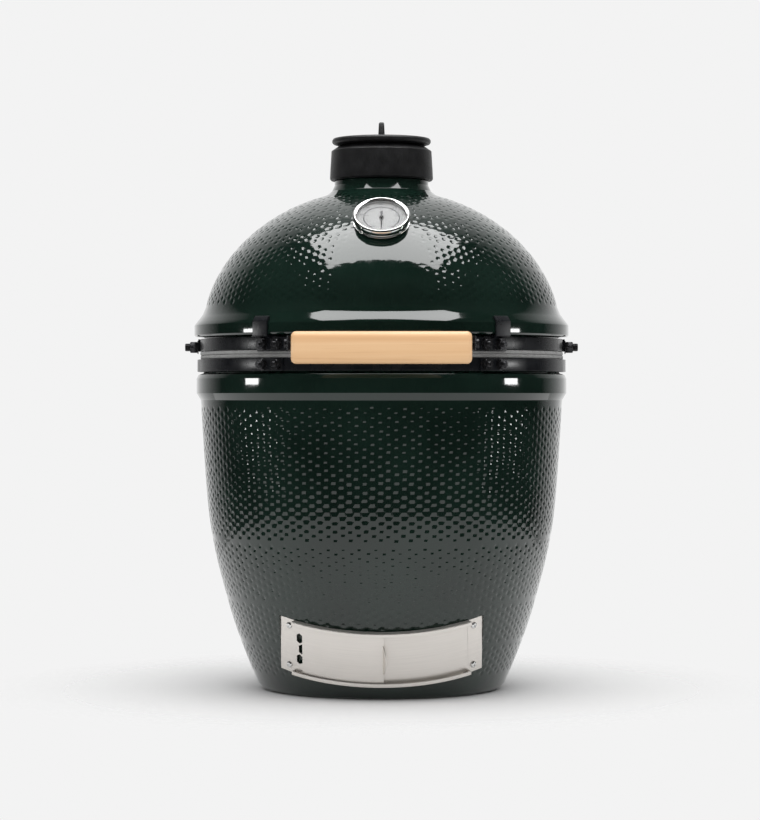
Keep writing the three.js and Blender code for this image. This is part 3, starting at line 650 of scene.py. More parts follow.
def hardwood():
    f = Finish("oiled_hardwood", (0.72, 0.47, 0.27), 0.45, Coat_Weight=0.12, Coat_Roughness=0.25)
    grain = f.noise(34, 4, f.stretched((0.035, 1.0, 1.6)), 0.6)
    figure = f.ramp(grain, (0.3, (0.66, 0.385, 0.19)), (0.5, (0.74, 0.46, 0.24)),
                    (0.7, (0.79, 0.52, 0.29)))
    pores = f.noise(300, 4, f.stretched((0.03, 1.0, 1.0)))
    f.color(f.blend(f.spread(pores, 0.0, 0.22, 0.56, 0.74), figure, (0.48, 0.26, 0.12)))
    f.rough(pores, 0.4, 0.56)
    return f.bump(pores, 0.08 * MM, 0.5).material


def clear_glass():
    f = Finish("clear_glass", (0.02, 0.02, 0.02), 0.02, Alpha=0.1, IOR=1.45)
    f.rough(f.noise(30, 2), 0.01, 0.03)
    return f.material


def dial_face():
    f = Finish("dial_face", (0.5, 0.505, 0.505), 0.6, Specular_IOR_Level=0.2)
    f.mottled(900, 2, (0.49, 0.495, 0.495), (0.52, 0.525, 0.525))
    f.rough(f.noise(500, 2), 0.45, 0.6)
    return f.material


def ink(name, color):
    f = Finish(name, color, 0.6, Specular_IOR_Level=0.2)
    lighter = tuple(min(1.0, c * 1.3 + 0.004) for c in color)
    f.mottled(800, 2, color, lighter)
    return f.material


def room_paint():
    """Near black, and clear towards the open side, so that the backdrop comes in softly."""
    f = Finish("room_dark", (0.003, 0.003, 0.003), 0.9)
    split = f.nodes.new("ShaderNodeSeparateXYZ")
    f.links.new(f.where, split.inputs["Vector"])
    f.links.new(f.spread(split.outputs["Y"], 1, 0, *ROOM["fade"]), f.shader.inputs["Alpha"])
    return f.material


def floor_paint():
    """Pale paint that fades out away from the grill, where the background has the same tone."""
    f = Finish("floor", (0.68, 0.68, 0.68), 0.7, Specular_IOR_Level=0.2)
    away = f.nodes.new("ShaderNodeVectorMath")
    away.operation = "LENGTH"
    f.links.new(f.where, away.inputs[0])
    f.links.new(f.spread(away.outputs["Value"], 1, 0, *FLOOR_FADE), f.shader.inputs["Alpha"])
    return f.material


GLAZE = glaze()
CLAY = bare_clay()
FIRECLAY = fireclay()
FELT = felt()
BLACK = powder_coat()
ZINC = black_zinc()
IRON = cast_iron()
SHEET = brushed("brushed_stainless", (0.84, 0.8, 0.755), (12, 12, 900), 0.28, 0.4, LEAN)
BAR = brushed("grid_stainless", (0.66, 0.66, 0.65), (900, 20, 900), 0.22, 0.38)
STEEL = polished()
WIRE = spring_steel()
WOOD = hardwood()
GLASS = clear_glass()
DIAL_FACE = dial_face()
DIAL_INK = ink("dial_ink", (0.03, 0.03, 0.03))
DIAL_GREY = ink("dial_ring_grey", (0.11, 0.11, 0.115))
NEEDLE = ink("needle_black", (0.012, 0.012, 0.012))

# ---- Ceramics with a dimpled glaze ----


def zip_rings(faces, low, high):
    """Joins two closed rings of (angle, index), which may have different counts, with triangles."""
    low = sorted(low)
    high = sorted(high)
    i = j = 0
    while i < len(low) or j < len(high):
        next_low = low[(i + 1) % len(low)][0] + (i + 1) // len(low)
        next_high = high[(j + 1) % len(high)][0] + (j + 1) // len(high)
        a, b = low[i % len(low)][1], high[j % len(high)][1]
        if j >= len(high) or (i < len(low) and next_low <= next_high):
            faces.append((a, low[(i + 1) % len(low)][1], b))
            i += 1
        else:
            faces.append((a, high[(j + 1) % len(high)][1], b))
            j += 1


class Glazed(Shape):
    """A turned ceramic body whose outside is dimpled between two heights."""

    def __init__(self, outline, low, high, plain, seed):
        super().__init__()
        self.chance = random.Random(seed)
        self.plain = plain
        lowest = next(i for i, p in enumerate(outline) if p[1] > low and p[0] > 60 * MM)
        highest = next(i for i in range(lowest, len(outline)) if outline[i][1] >= high) - 1
        self.path = np.array(outline[lowest:highest + 1])
        steps = np.hypot(*np.diff(self.path, axis=0).T)
        self.along = np.concatenate(([0], np.cumsum(steps)))
        before, after = outline[:lowest], outline[highest + 1:]
        bottom, top = self.dimpled()
        rings = [self.ring(p) for p in after + before]
        self.join(top, rings[0], 0)
        for k in range(len(rings) - 1):
            self.quads(rings[k], rings[k + 1], int(len(after) - 1 > k >= self.bare_from(after)))
        self.join(rings[-1], bottom, 0)

    @staticmethod
    def bare_from(after):
        """The first ring past the rim's highest point: from there on the clay is unglazed."""
        return max(range(len(after)), key=lambda i: (round(after[i][1], 4), -after[i][0]))

    def at(self, s):
        """The point and the outward normal at a distance along the dimpled path."""
        s = min(max(s, 0.0), self.along[-1])
        k = min(int(np.searchsorted(self.along, s, "right")) - 1, len(self.path) - 2)
        t = (s - self.along[k]) / (self.along[k + 1] - self.along[k])
        radius, height = self.path[k] * (1 - t) + self.path[k + 1] * t
        ahead, behind = self.spot(s + 4 * MM), self.spot(s - 4 * MM)
        tangent = np.array(ahead) - np.array(behind)
        tangent /= np.hypot(*tangent)
        return radius, height, (tangent[1], -tangent[0])

    def spot(self, s):
        return (float(np.interp(s, self.along, self.path[:, 0])),
                float(np.interp(s, self.along, self.path[:, 1])))

    def put(self, s, turn, depth=0.0):
        """A point at a distance along the path and a share of a turn, sunk by a depth."""
        radius, height, normal = self.at(s)
        r, z = radius - normal[0] * depth, height - normal[1] * depth
        self.points.append(round_axis(r, 2 * math.pi * turn, z))
        return len(self.points) - 1

    def ring(self, point, steps=RING_STEPS):
        radius, height = point
        if radius < 1e-6:
            self.points.append((0, 0, height))
            return [(0, len(self.points) - 1)]
        start = len(self.points)
        self.points += [round_axis(radius, 2 * math.pi * k / steps, height) for k in range(steps)]
        return [(k / steps, start + k) for k in range(steps)]

    def face(self, corners, finish):
        self.faces.append(corners)
        self.finishes.append(finish)

    def quads(self, a, b, finish):
        """Faces between two plain rings, either of which may be a single point."""
        count = max(len(a), len(b))
        for k in range(count):
            corners = [a[k % len(a)][1], a[(k + 1) % len(a)][1], b[(k + 1) % len(b)][1], b[k % len(b)][1]]
            corners = list(dict.fromkeys(corners))
            if len(corners) > 2:
                self.face(corners, finish)

    def join(self, a, b, finish):
        new = []
        zip_rings(new, a, b)
        for corners in new:
            self.face(corners, finish)

    def dimpled(self):
        """Rows of dimples in groups with the same count. Returns the lowest and highest ring."""
        row = DIMPLE["pitch"] / 2
        rows = int(self.along[-1] / row) - 2
        row = self.along[-1] / (rows + 2)
        bottom = previous = None
        first = 0
        while first < rows:
            radius = self.at((first + 1.5) * row)[0]
            last = first + 1
            while last + 2 < rows and self.fits(radius, self.at((last + 2.5) * row)[0]):
                last += 1
            last = rows - 1 if last + 3 > rows else last
            middle = self.at(((first + last) / 2 + 1.5) * row)[0]
            count = max(8, round(2 * math.pi * middle / (DIMPLE["pitch"] * math.sqrt(3))))
            low, high = self.group(first, last, count, row)
            if previous:
                self.join(previous, low, 0)
            bottom = bottom or low
            previous = high
            first = last + 1
        return bottom, previous

    @staticmethod
    def fits(start, here):
        return 1 / ROW_CHANGE < here / start < ROW_CHANGE

    def group(self, first, last, count, row):
        """A staggered group of rows. Each dimple is a centre and two rings in a hexagonal cell.

        Places round the body are counted in thirds of a column, and there are two columns for
        each dimple in a row. A row's cells reach up and down to the rows beside it, so a group
        is squeezed a little at both ends to leave room for the seam between groups.
        """
        shift = self.chance.random()
        thirds = 6 * count
        squeeze = (last - first + 1) / (last - first + 2.3)
        middle = (first + last) / 2
        corner = {}

        def height_of(level):
            return ((level - middle) * squeeze + middle + 1.5) * row

        def turn_of(third):
            return (shift + third / thirds) % 1

        def shared(level, third):
            key = (level, third % thirds)
            if key not in corner:
                corner[key] = self.put(height_of(level), turn_of(third))
            return corner[key]

        for level in range(first, last + 1):
            for column in range(level % 2, 2 * count, 2):
                self.cell(height_of(level), turn_of(3 * column), count, row * squeeze, [
                    shared(level + up, 3 * column + third)
                    for up, third in ((-1, 1), (0, 2), (1, 1), (1, -1), (0, -2), (-1, -1))])
        edges = []
        for level, outward in ((first, -1), (last, 1)):
            ring = []
            for column in range(level % 2, 2 * count, 2):
                places = [3 * column - 1, 3 * column + 1]
                ring += [(turn_of(third), shared(level + outward, third)) for third in places]
                notch = (shared(level + outward, 3 * column + 1), shared(level, 3 * column + 2),
                         shared(level, 3 * column + 4), shared(level + outward, 3 * column + 5))
                self.face(notch if outward > 0 else notch[::-1], 0)
            edges.append(ring)
        return edges

    def cell(self, s, turn, count, row, corners):
        """One dimple in a cell whose corners are given, from the lower right one round upwards."""
        radius, height, _ = self.at(s)
        wide = 2 * math.pi * radius / count
        fit = min(1.0, wide / (DIMPLE["pitch"] * math.sqrt(3)), 2 * row / DIMPLE["pitch"])
        ds, du = (self.chance.uniform(-1, 1) * DIMPLE["jitter"] * fit for _ in range(2))
        size = fit * self.chance.uniform(0.84, 1.02)
        depth = DIMPLE["depth"] * fit * self.chance.uniform(0.7, 1.15)
        depth *= self.plain(radius, turn, height)
        round_once = 2 * math.pi * radius
        centre = self.put(s + ds, turn + du / round_once, depth)
        rings = []
        for reach, sunk in ((DIMPLE["waist"], DIMPLE["waist_share"] * depth), (DIMPLE["rim"], 0.0)):
            ring = []
            for step in range(6):
                angle = math.radians(60 * step - 60)
                across, up = math.cos(angle) * reach * size, math.sin(angle) * reach * size
                ring.append(self.put(s + ds + up, turn + (du + across) / round_once, sunk))
            rings.append(ring)
        waist, rim = rings
        for step in range(6):
            after = (step + 1) % 6
            self.face((centre, waist[step], waist[after]), 0)
            self.face((waist[step], rim[step], rim[after], waist[after]), 0)
            self.face((rim[step], corners[step], corners[after], rim[after]), 0)

    def glazed(self, name):
        return self.build(name, GLAZE, CLAY, smooth=GLAZE_ANGLE)


def dimpled_all_over(*_place):
    return 1.0


def below_the_dial(radius, turn, height):
    """How much dimple is left: none on the smooth patch under the dial, which fades out round it."""
    angle = (turn + 0.5) % 1 - 0.5
    across = 2 * math.pi * angle * radius / PATCH["half_width"]
    up = (height - PATCH["height"]) / PATCH["half_height"]
    return min(1.0, max(0.0, (math.hypot(across, up) - 1.0) / PATCH["fade"]))


def sector_cutter(outline, start, end):
    """A cutter turned about the air door's axis between two angles."""
    return Shape().turned(outline, RING_STEPS, start, end, place=LEAN).build("sector")


def port_cutter(front, back):
    """The draft port's opening, as the CAD has it, between two distances ahead of the axis."""
    outline = oblong(PORT["left"], PORT["right"], -front, -back)
    return Shape().plate(outline, PORT["bottom"], PORT["top"]).build("port")


def glazed_base():
    node = "base_shell"
    outline = rounded(smoothed(outline_of(node)), 1.6 * MM, least_turn=20)
    pot = Glazed(outline, *BASE_DIMPLES, dimpled_all_over, 3).glazed("glazed_pot")
    seat = node_span("draft_frame", LEAN)
    bottom, top = seat["height"]
    start, end = seat["angle"]
    recess = oblong(seat["radius"][0] - SEAT_GAP["radius"], POT_PORT[0],
                    bottom - SEAT_GAP["height"], top + SEAT_GAP["height"])
    sector = sector_cutter(recess, start - SEAT_GAP["angle"], end + SEAT_GAP["angle"])
    crisp(combined(pot, [sector, port_cutter(*POT_PORT)]), GLAZE_ANGLE)
    return stand_for(pot, node)


def glazed_dome():
    node = "dome_shell"
    outline = rounded(smoothed(outline_of(node)), 1.4 * MM)
    dome = Glazed(outline, *DOME_DIMPLES, below_the_dial, 8).glazed("glazed_dome")
    outline = oblong(0, STEM_HOLE["radius"], STEM_HOLE["low"], STEM_HOLE["high"])
    hole = Shape().turned(outline, 24, place=DIAL)
    crisp(combined(dome, [hole.build("stem_hole")]), GLAZE_ANGLE)
    return stand_for(dome, node)


# ---- Plain turned pieces ----


def sector_of(node, place=FLAT):
    """The angles between which a node lies, the second one greater, found by its widest gap."""
    points = node_points(node, place)
    angles = np.unique(np.round(np.degrees(np.arctan2(points[:, 0], -points[:, 1])) % 360, 3))
    gaps = np.diff(np.append(angles, angles[0] + 360))
    widest = int(gaps.argmax())
    start = float(angles[(widest + 1) % len(angles)])
    end = float(angles[widest])
    return start, end if end > start else end + 360


def fire_box():
    node = "fire_box"
    outline = rounded(smoothed(outline_of(node), steps=3), 4 * MM)
    bowl = Shape().turned(outline, 144).build("fire_bowl", FIRECLAY)
    crisp(combined(bowl, [port_cutter(*BOWL_PORT)]))
    return stand_for(bowl, node)


def turned_copy(node, name, material, soft, facets, angle=0, place=FLAT, **rounding):
    """A turned CAD node with its corners rounded, cut at an angle where it is whole."""
    outline = rounded(outline_of(node, angle, place), soft, **rounding)
    return stand_for(Shape().turned(outline, facets, place=place).build(name, material), node)


def fire_grate():
    """A dished iron grate with a rim, a centre boss and slots."""
    low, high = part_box("fire_grate")
    radius, bottom, top = high.x, low.z, high.z
    outline = [(0, bottom), (radius, bottom), (radius, top), (radius - 9 * MM, top),
               (radius - 13 * MM, top - 3 * MM), (24 * MM, top - 3 * MM), (20 * MM, top), (0, top)]
    plate = Shape().turned(rounded(outline, 1.4 * MM), SMALL_STEPS).build("grate", IRON)
    holes = Shape()
    for offset, count, inner, outer in GRATE_SLOTS:
        outline = rounded(oblong(inner, outer, -SLOT_HALF, SLOT_HALF), SLOT_HALF * 0.9)
        for k in range(count):
            holes.plate(outline, bottom - 2 * MM, top + 2 * MM, place=turn_z(360 * (k + offset) / count))
    crisp(combined(plate, [holes.build("slots")]))
    return stand_for(plate, "fire_grate")


def cooking_grid():
    """Round bars across a round rim, with three cross bars under them."""
    low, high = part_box("cooking_grid")
    wire = (high.z - low.z) / 4
    rim = high.x - wire
    rim_z, bar_z = low.z + wire, high.z - wire
    shape = Shape().tube([(x, y, rim_z) for x, y in circle(rim, 144)], wire, closed=True)
    count = int(rim / GRID["pitch"])
    for k in range(-count, count + 1):
        x = k * GRID["pitch"]
        reach = math.sqrt(rim**2 - x**2) + wire * 0.5
        shape.tube([(x, -reach, bar_z), (x, reach, bar_z)], wire, GRID["sides"])
    for y in (-rim / 2, 0, rim / 2):
        reach = math.sqrt(rim**2 - y**2)
        shape.tube([(-reach, y, rim_z), (reach, y, rim_z)], wire, GRID["sides"])
    return stand_for(shape.build("grid_bars", BAR), "cooking_grid")


def felt_ring(node, name, seed):
    """Pressed felt: rounded, and a little uneven along its edges."""
    chance = random.Random(seed)
    outline = rounded(outline_of(node), 1.8 * MM)
    shape = Shape().turned(outline, 2 * RING_STEPS)
    waves = [(chance.randint(3, 150), chance.uniform(0, 6.28), chance.uniform(0.2, 1))
             for _ in range(26)]
    total = sum(w[2] for w in waves)
    middle = sum(p[1] for p in outline) / len(outline)
    moved = []
    for x, y, z in shape.points:
        angle = math.atan2(y, x)
        wave = sum(size * math.sin(rate * angle + start) for rate, start, size in waves) / total
        grow = 1 + wave * 2.6 * MM / math.hypot(x, y)
        moved.append((x * grow, y * grow, middle + (z - middle) * (1 + wave * 0.1)))
    shape.points = moved
    return stand_for(shape.build(name, FELT), node)


# ---- Bands ----


def band_part(node, name):
    """A strip of the steel band with softened edges."""
    start, end = sector_of(node)
    middle = 10 * round((start + end) / 20)
    outline = rounded(outline_of(node, middle), 0.7 * MM, steps=3)
    return stand_for(Shape().turned(outline, RING_STEPS, start, end).build(name, BLACK), node)


# ---- Fasteners ----


def head_of(points):
    """The start, the end and the radius of the widest part of a fastener along Z."""
    reach = np.hypot(points[:, 0], points[:, 1])
    head = points[reach > reach.max() * 0.9]
    return head[:, 2].min(), head[:, 2].max(), reach.max()


def outward_place(node):
    """A frame on a bolt that points outwards: Z is the distance from the grill's axis."""
    points = node_points(node)
    reach = np.hypot(points[:, 0], points[:, 1])
    tip = points[reach > reach.max() - 0.6 * MM].mean(axis=0)
    angle = math.degrees(math.atan2(tip[0], -tip[1]))
    return shifted(0, 0, tip[2]) @ turn_z(angle) @ OUTWARDS


def hexagon_ring(wide, z, blend):
    """A ring of points between a hexagon (blend 0) and its inner circle (blend 1)."""
    ring = []
    for k in range(36):
        angle = 2 * math.pi * k / 36
        corner = (angle % (math.pi / 3)) - math.pi / 6
        reach = wide / 2 * ((1 - blend) / math.cos(corner) + blend)
        ring.append((reach * math.cos(angle), reach * math.sin(angle), z))
    return ring


def add_nut(shape, place, wide, low, high):
    """A hexagon with its corners chamfered on both faces and a countersunk bore."""
    drop = (high - low) * 0.14
    sections = ((0.95, low, 1.0), (1, low + drop, 0.0), (1, high - drop, 0.0), (0.97, high, 1.0),
                (0.66, high, 1.0), (0.58, high - drop, 1.0))
    rings = [hexagon_ring(wide * share, z, blend) for share, z, blend in sections]
    return shape.add(*lofted(rings), place=place)


def thread(radius, low, high, pitch=1.25 * MM, depth=0.4 * MM):
    """The outline of a threaded stud with a chamfered end."""
    root = radius - depth
    end = high - 0.8 * MM
    outline = [(0, low), (root, low)]
    z = low
    while z + pitch < end:
        outline += [(root, z + pitch * 0.15), (radius, z + pitch * 0.5), (root, z + pitch * 0.85)]
        z += pitch
    return outline + [(radius - depth * 0.6, end), (root - 0.5 * MM, high), (0, high)]


def band_bolt(node, name):
    """A threaded stud with its nut, and a washer under the nut."""
    place = outward_place(node)
    points = node_points(node, place)
    reach = np.hypot(points[:, 0], points[:, 1])
    tip, inside = points[:, 2].max(), points[:, 2].min()
    stud = reach[points[:, 2] > tip - 0.3 * MM].max()
    outer = points[reach > stud * 1.35]
    nut_low, nut_high = outer[:, 2].min(), outer[:, 2].max()
    wide = np.sort(reach)[-3:].mean() * (1.73 if stud < 5 * MM else 1.66)
    shape = Shape().turned(thread(stud, inside, tip), 24, place=place)
    washer_high = nut_low + 1.2 * MM
    washer = [(stud * 0.9, nut_low), (wide * 0.6, nut_low), (wide * 0.62, nut_low + 0.5 * MM),
              (wide * 0.6, washer_high), (stud * 0.9, washer_high)]
    shape.turned(washer, 48, place=place)
    add_nut(shape, place, wide, washer_high - 0.1 * MM, nut_high)
    return stand_for(shape.build(name, ZINC), node)


# ---- Handle ----


def handle_bar():
    """The wood grip: a rounded bar with eased ends."""
    low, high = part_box("handle_bar")
    middle_y, middle_z = (low.y + high.y) / 2, (low.z + high.z) / 2
    half_y, half_z = (high.y - low.y) / 2, (high.z - low.z) / 2
    ease, power = GRIP["ease"], GRIP["squareness"]
    turns = [math.radians(15 * step) for step in range(7)]
    stations = [(low.x + ease * (1 - math.cos(a)), ease * (1 - math.sin(a))) for a in turns]
    stations += [(x, 0.0) for x in np.linspace(low.x + 2 * ease, high.x - 2 * ease, 9)]
    stations += [(low.x + high.x - x, back) for x, back in stations[6::-1]]
    section = []
    for c, s in circle(1, GRIP["sides"]):
        reach = (abs(c) ** power + abs(s) ** power) ** (-1 / power)
        section.append((reach * c, reach * s))
    rings = [[(x, middle_y - (half_y - back) * c, middle_z + (half_z - back) * s) for c, s in section]
             for x, back in stations]
    shape = Shape().add(*lofted(rings))
    return stand_for(shape.build("wood_grip", WOOD, smooth=50), "handle_bar")


def handle_bracket():
    """The right-hand bracket as a shape: plate, finger over the rim, ear and gusset."""
    node = "handle_bracket_right"
    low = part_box(node)[0]
    finger = outline_of(node, BRACKET["outer"], tolerance=0.3 * MM)
    inner, outer = finger[0][0], finger[1][0]
    points = node_points(node)
    top = float(points[points[:, 1] < low.y + 20 * MM][:, 2].max())
    strap = outer - inner
    inside, bend, outside = BRACKET["inner"], BRACKET["finger"], BRACKET["outer"]
    shape = Shape().turned(rounded(finger, 1.6 * MM), FINE_STEPS, bend, outside)
    plate = rounded(oblong(inner, outer, low.z, top), 0.8 * MM)
    shape.turned(plate, FINE_STEPS, inside, outside - 0.1)
    for step in range(GUSSET["steps"]):
        share = (step + 1) / GUSSET["steps"]
        gusset = oblong(inner, outer, top - strap, top + GUSSET["rise"] * share)
        start = bend - (bend - inside) * GUSSET["reach"] * (1 - share)
        shape.turned(gusset, FINE_STEPS, start, bend + 0.2)
    ear_end = -outer * math.cos(math.radians(inside))
    ear = rounded(oblong(low.y, ear_end, low.z, top), 5 * MM, steps=6)
    return shape.plate(ear, low.x, low.x + strap, 0.5 * MM, place=SIDEWAYS)


def handle():
    right = handle_bracket()
    stand_for(right.build("bracket_right", BLACK), "handle_bracket_right")
    stand_for(right.mirrored().build("bracket_left", BLACK), "handle_bracket_left")
    handle_bar()
    for side, hand in HANDS.items():
        node = f"handle_screw_{side}"
        low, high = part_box(node)
        place = across(hand, (low + high) / 2)
        points = node_points(node, place)
        start, end, _ = head_of(points)
        shank = thread(GRIP_SCREW["shank"], points[:, 2].min(), start + 0.5 * MM)
        wide, socket, floor = GRIP_SCREW["head"], GRIP_SCREW["socket"], end - GRIP_SCREW["depth"]
        head = [(0, start), (wide, start), (wide, end), (socket, end),
                (socket - 0.4 * MM, floor), (0, floor)]
        shape = Shape().turned(shank, 20, place=place)
        shape.turned(rounded(head, 0.8 * MM), 48, place=place)
        stand_for(shape.build(f"grip_screw_{side}", ZINC), node)


# ---- Rear hinge ----


def eased_copy(node, name):
    """A CAD node's shape with its flats merged and its edges bevelled."""
    source = frame["nodes"][node].data
    work = bmesh.new()
    work.from_mesh(source)
    bmesh.ops.remove_doubles(work, verts=work.verts, dist=1e-5)
    bmesh.ops.dissolve_limit(work, angle_limit=math.radians(1), verts=work.verts, edges=work.edges)
    mesh = bpy.data.meshes.new(name)
    work.to_mesh(mesh)
    work.free()
    mesh.materials.clear()
    mesh.materials.append(BLACK)
    obj = placed(name, mesh)
    step = obj.modifiers.new("ease", "BEVEL")
    step.width = 0.6 * MM
    step.segments = 2
    step.limit_method = "ANGLE"
    step.angle_limit = math.radians(40)
    apply_modifiers(obj)
    crisp(obj, 32)
    return stand_for(obj, node)


def hinge_spring(side):
    """An extension spring: coils with an open hook over each rod."""
    node = f"hinge_spring_{side}"
    low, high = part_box(node)
    middle = (low + high) / 2
    lower_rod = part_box("hinge_lower_bracket")[0].z + SPRING["rod_inset"]
    upper_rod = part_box("hinge_upper_bracket")[1].z - SPRING["rod_inset"]
    wire = SPRING["wire"]
    radius = (high.y - low.y) / 2 - wire
    loop = SPRING["rod"] + wire + 0.2 * MM

    def hook(rod, away):
        """From the coil up one side of the rod, over it and a little way down the other side."""
        sides = [(-loop, -2 * loop)]
        sides += [(-loop * math.cos(turn), loop * math.sin(turn)) for turn in np.linspace(0, math.pi, 13)]
        sides.append((loop, -0.5 * loop))
        return [(middle.x, middle.y + y, rod + away * z) for y, z in sides]

    start, end = lower_rod + 3 * loop, upper_rod - 3 * loop
    steps = SPRING["turns"] * SPRING["facets"]
    path = hook(lower_rod, -1)[::-1]
    for k in range(steps + 1):
        angle = 2 * math.pi * k / SPRING["facets"]
        path.append((middle.x + radius * math.sin(angle), middle.y - radius * math.cos(angle),
                     start + (end - start) * k / steps))
    path += hook(upper_rod, 1)
    obj = Shape().tube(path, wire, 10).build(f"spring_{side}", WIRE, smooth=60)
    stand_for(obj, node)
    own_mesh(obj)
    return obj


def hinge_pin(side):
    """A pivot pin with a chamfered head."""
    node = f"hinge_pin_{side}"
    place = across(HANDS[side], Vector(joints["lid_hinge"]["pos_m"]))
    points = node_points(node, place)
    start, end, wide = head_of(points)
    tip = points[:, 2].min()
    outline = [(0, tip), (PIVOT_PIN, tip), (PIVOT_PIN, start), (wide, start), (wide, end - 1 * MM),
               (wide * 0.7, end), (0, end)]
    shape = Shape().turned(rounded(outline, 0.7 * MM), 48, place=place)
    return stand_for(shape.build(f"pivot_pin_{side}", ZINC), node)


# ---- Air door ----


def curved_sheet(inner, outer, half, left, right, soft):
    """A sheet round the leaning axis, between two angles."""
    outline = rounded(oblong(inner, outer, -half, half), soft)
    return Shape().turned(outline, FINE_STEPS, left, right, place=LEAN)


def draft_frame():
    """The door's frame: a curved back with its opening, and folded rails above and below."""
    node = "draft_frame"
    span = node_span(node, LEAN)
    inner, lip_outer = DRAFT["seat"], span["radius"][1]
    half = span["height"][1]
    sheet = DRAFT["sheet"]
    side = span["angle"][1]
    back = curved_sheet(inner, inner + sheet, half, -side, side, 0.4 * MM).build("door_frame", SHEET)
    opening = oblong(inner - 5 * MM, inner + 20 * MM, -DRAFT["window_half"], DRAFT["window_half"])
    window = sector_cutter(opening, DRAFT["window_left"], DRAFT["window_right"])
    holes = Shape()
    for angle, height in screw_places():
        hole = circle(DRAFT["hole"], 24)
        holes.plate(hole, inner - 4 * MM, inner + 10 * MM, place=on_door(angle, height))
    combined(back, [window, holes.build("screw_holes")])
    lip_inner, lip_low = lip_outer - sheet, half - DRAFT["lip"]
    root = inner + 0.4 * sheet
    rail = [(root, half - sheet), (lip_inner, half - sheet), (lip_inner, lip_low), (lip_outer, lip_low),
            (lip_outer, half), (root, half)]
    stop = oblong(root, lip_outer - 0.3 * MM, lip_low, half - 0.3 * MM)
    channel, rail_end = DRAFT["channel"], DRAFT["channel"] + 0.5
    parts = ((rail, 1.2 * MM, -rail_end, rail_end), (stop, 0.5 * MM, -rail_end, -channel),
             (stop, 0.5 * MM, channel, rail_end))
    rails = Shape()
    for end in (1, -1):
        for outline, soft, first, last in parts:
            upright = rounded([(r, z * end) for r, z in outline], soft)
            rails.turned(upright, FINE_STEPS, first, last, place=LEAN)
    combined(back, [rails.build("rails")], "UNION")
    crisp(back, 30)
    return stand_for(back, node)


def screw_places():
    """The angle and height of each draft screw in the leaning frame."""
    found = []
    for k in range(4):
        points = node_points(f"draft_screw_{k + 1}", LEAN)
        middle = (points.max(axis=0) + points.min(axis=0)) / 2
        found.append((math.degrees(math.atan2(middle[0], -middle[1])), float(middle[2])))
    return found


def draft_screws():
    """Pan-head screws with a cross recess."""
    for k, (angle, height) in enumerate(screw_places()):
        node = f"draft_screw_{k + 1}"
        place = on_door(angle, height)
        points = node_points(node, place)
        start, end, radius = head_of(points)
        deep = end - start
        dome = [(0, start), (radius, start), (radius, start + 0.35 * deep),
                (radius * 0.72, start + 0.86 * deep), (radius * 0.3, end), (0, end)]
        head = Shape().turned(rounded(dome, 0.5 * MM, least_turn=12), 40, place=place)
        top = head.build(f"pan_screw_{k + 1}", STEEL)
        for turn in (20, 110):
            cross = oblong(-0.6 * radius, 0.6 * radius, -0.1 * radius, 0.1 * radius)
            arm = Shape().plate(cross, end - 1.1 * MM, end + 1 * MM, place=place @ turn_z(turn))
            combined(top, [arm.build("cross_arm")])
        outline = thread(2 * MM, points[:, 2].min(), start + 0.1 * MM, 0.7 * MM, 0.25 * MM)
        shank = Shape().turned(outline, 16, place=place)
        combined(top, [shank.build("shank")], "UNION")
        crisp(top)
        stand_for(top, node)


def draft_door():
    """The solid door: a curved plate with a bent pull tab along its right edge."""
    node = "draft_door"
    span = node_span(node, LEAN)
    inner, tip = span["radius"]
    left, right = span["angle"]
    half = span["height"][1]
    sheet = DRAFT["door_sheet"]
    shape = curved_sheet(inner, inner + sheet, half, left, right - 0.05, 0.45 * MM)
    steps = 14
    reach = tip - inner - sheet * 0.4 - 0.5 * MM
    shares = [(step + 0.5) / steps for step in range(steps)]
    lens = [(0, -TAB["half"])]
    lens += [(reach * math.sin(math.pi * share) ** 0.6, TAB["half"] * (2 * share - 1))
             for share in shares]
    lens.append((0, TAB["half"]))
    upright = Matrix(((0, 0, -1, 0), (-1, 0, 0, 0), (0, 1, 0, 0), (0, 0, 0, 1)))
    edge = LEAN @ turn_z(right) @ shifted(-0.5 * MM, -inner - sheet * 0.4, 0)
    shape.plate(lens, 0, TAB["sheet"], 0.3 * MM, place=edge @ turn_z(TAB["slant"]) @ upright)
    return stand_for(shape.build("air_door", SHEET), node)


def draft_screen():
    """The punched screen behind the door."""
    node = "draft_screen"
    span = node_span(node, LEAN)
    outer = span["radius"][1]
    inner = outer - DRAFT["screen_sheet"]
    left, right = span["angle"]
    half = span["height"][1]
    plate = curved_sheet(inner, outer, half, left, right, 0.3 * MM).build("punched_screen", SHEET)
    wide, high, shoulder = HOLE["wide"], HOLE["high"], HOLE["shoulder"]
    hexagon = rounded([(-wide, -shoulder), (0, -high), (wide, -shoulder),
                       (wide, shoulder), (0, high), (-wide, shoulder)], 0.6 * MM)
    holes = Shape()
    for column in range(int((right - left) / HOLE["pitch"])):
        for level in (-1, 0, 1):
            angle = left + HOLE["first"] + column * HOLE["pitch"] + (0 if level else HOLE["shift"])
            place = on_door(angle, level * HOLE["rise"])
            holes.plate(hexagon, inner - 5 * MM, outer + 5 * MM, place=place)
    combined(plate, [holes.build("holes")])
    crisp(plate, 30)
    return stand_for(plate, node)


# ---- Thermometer ----


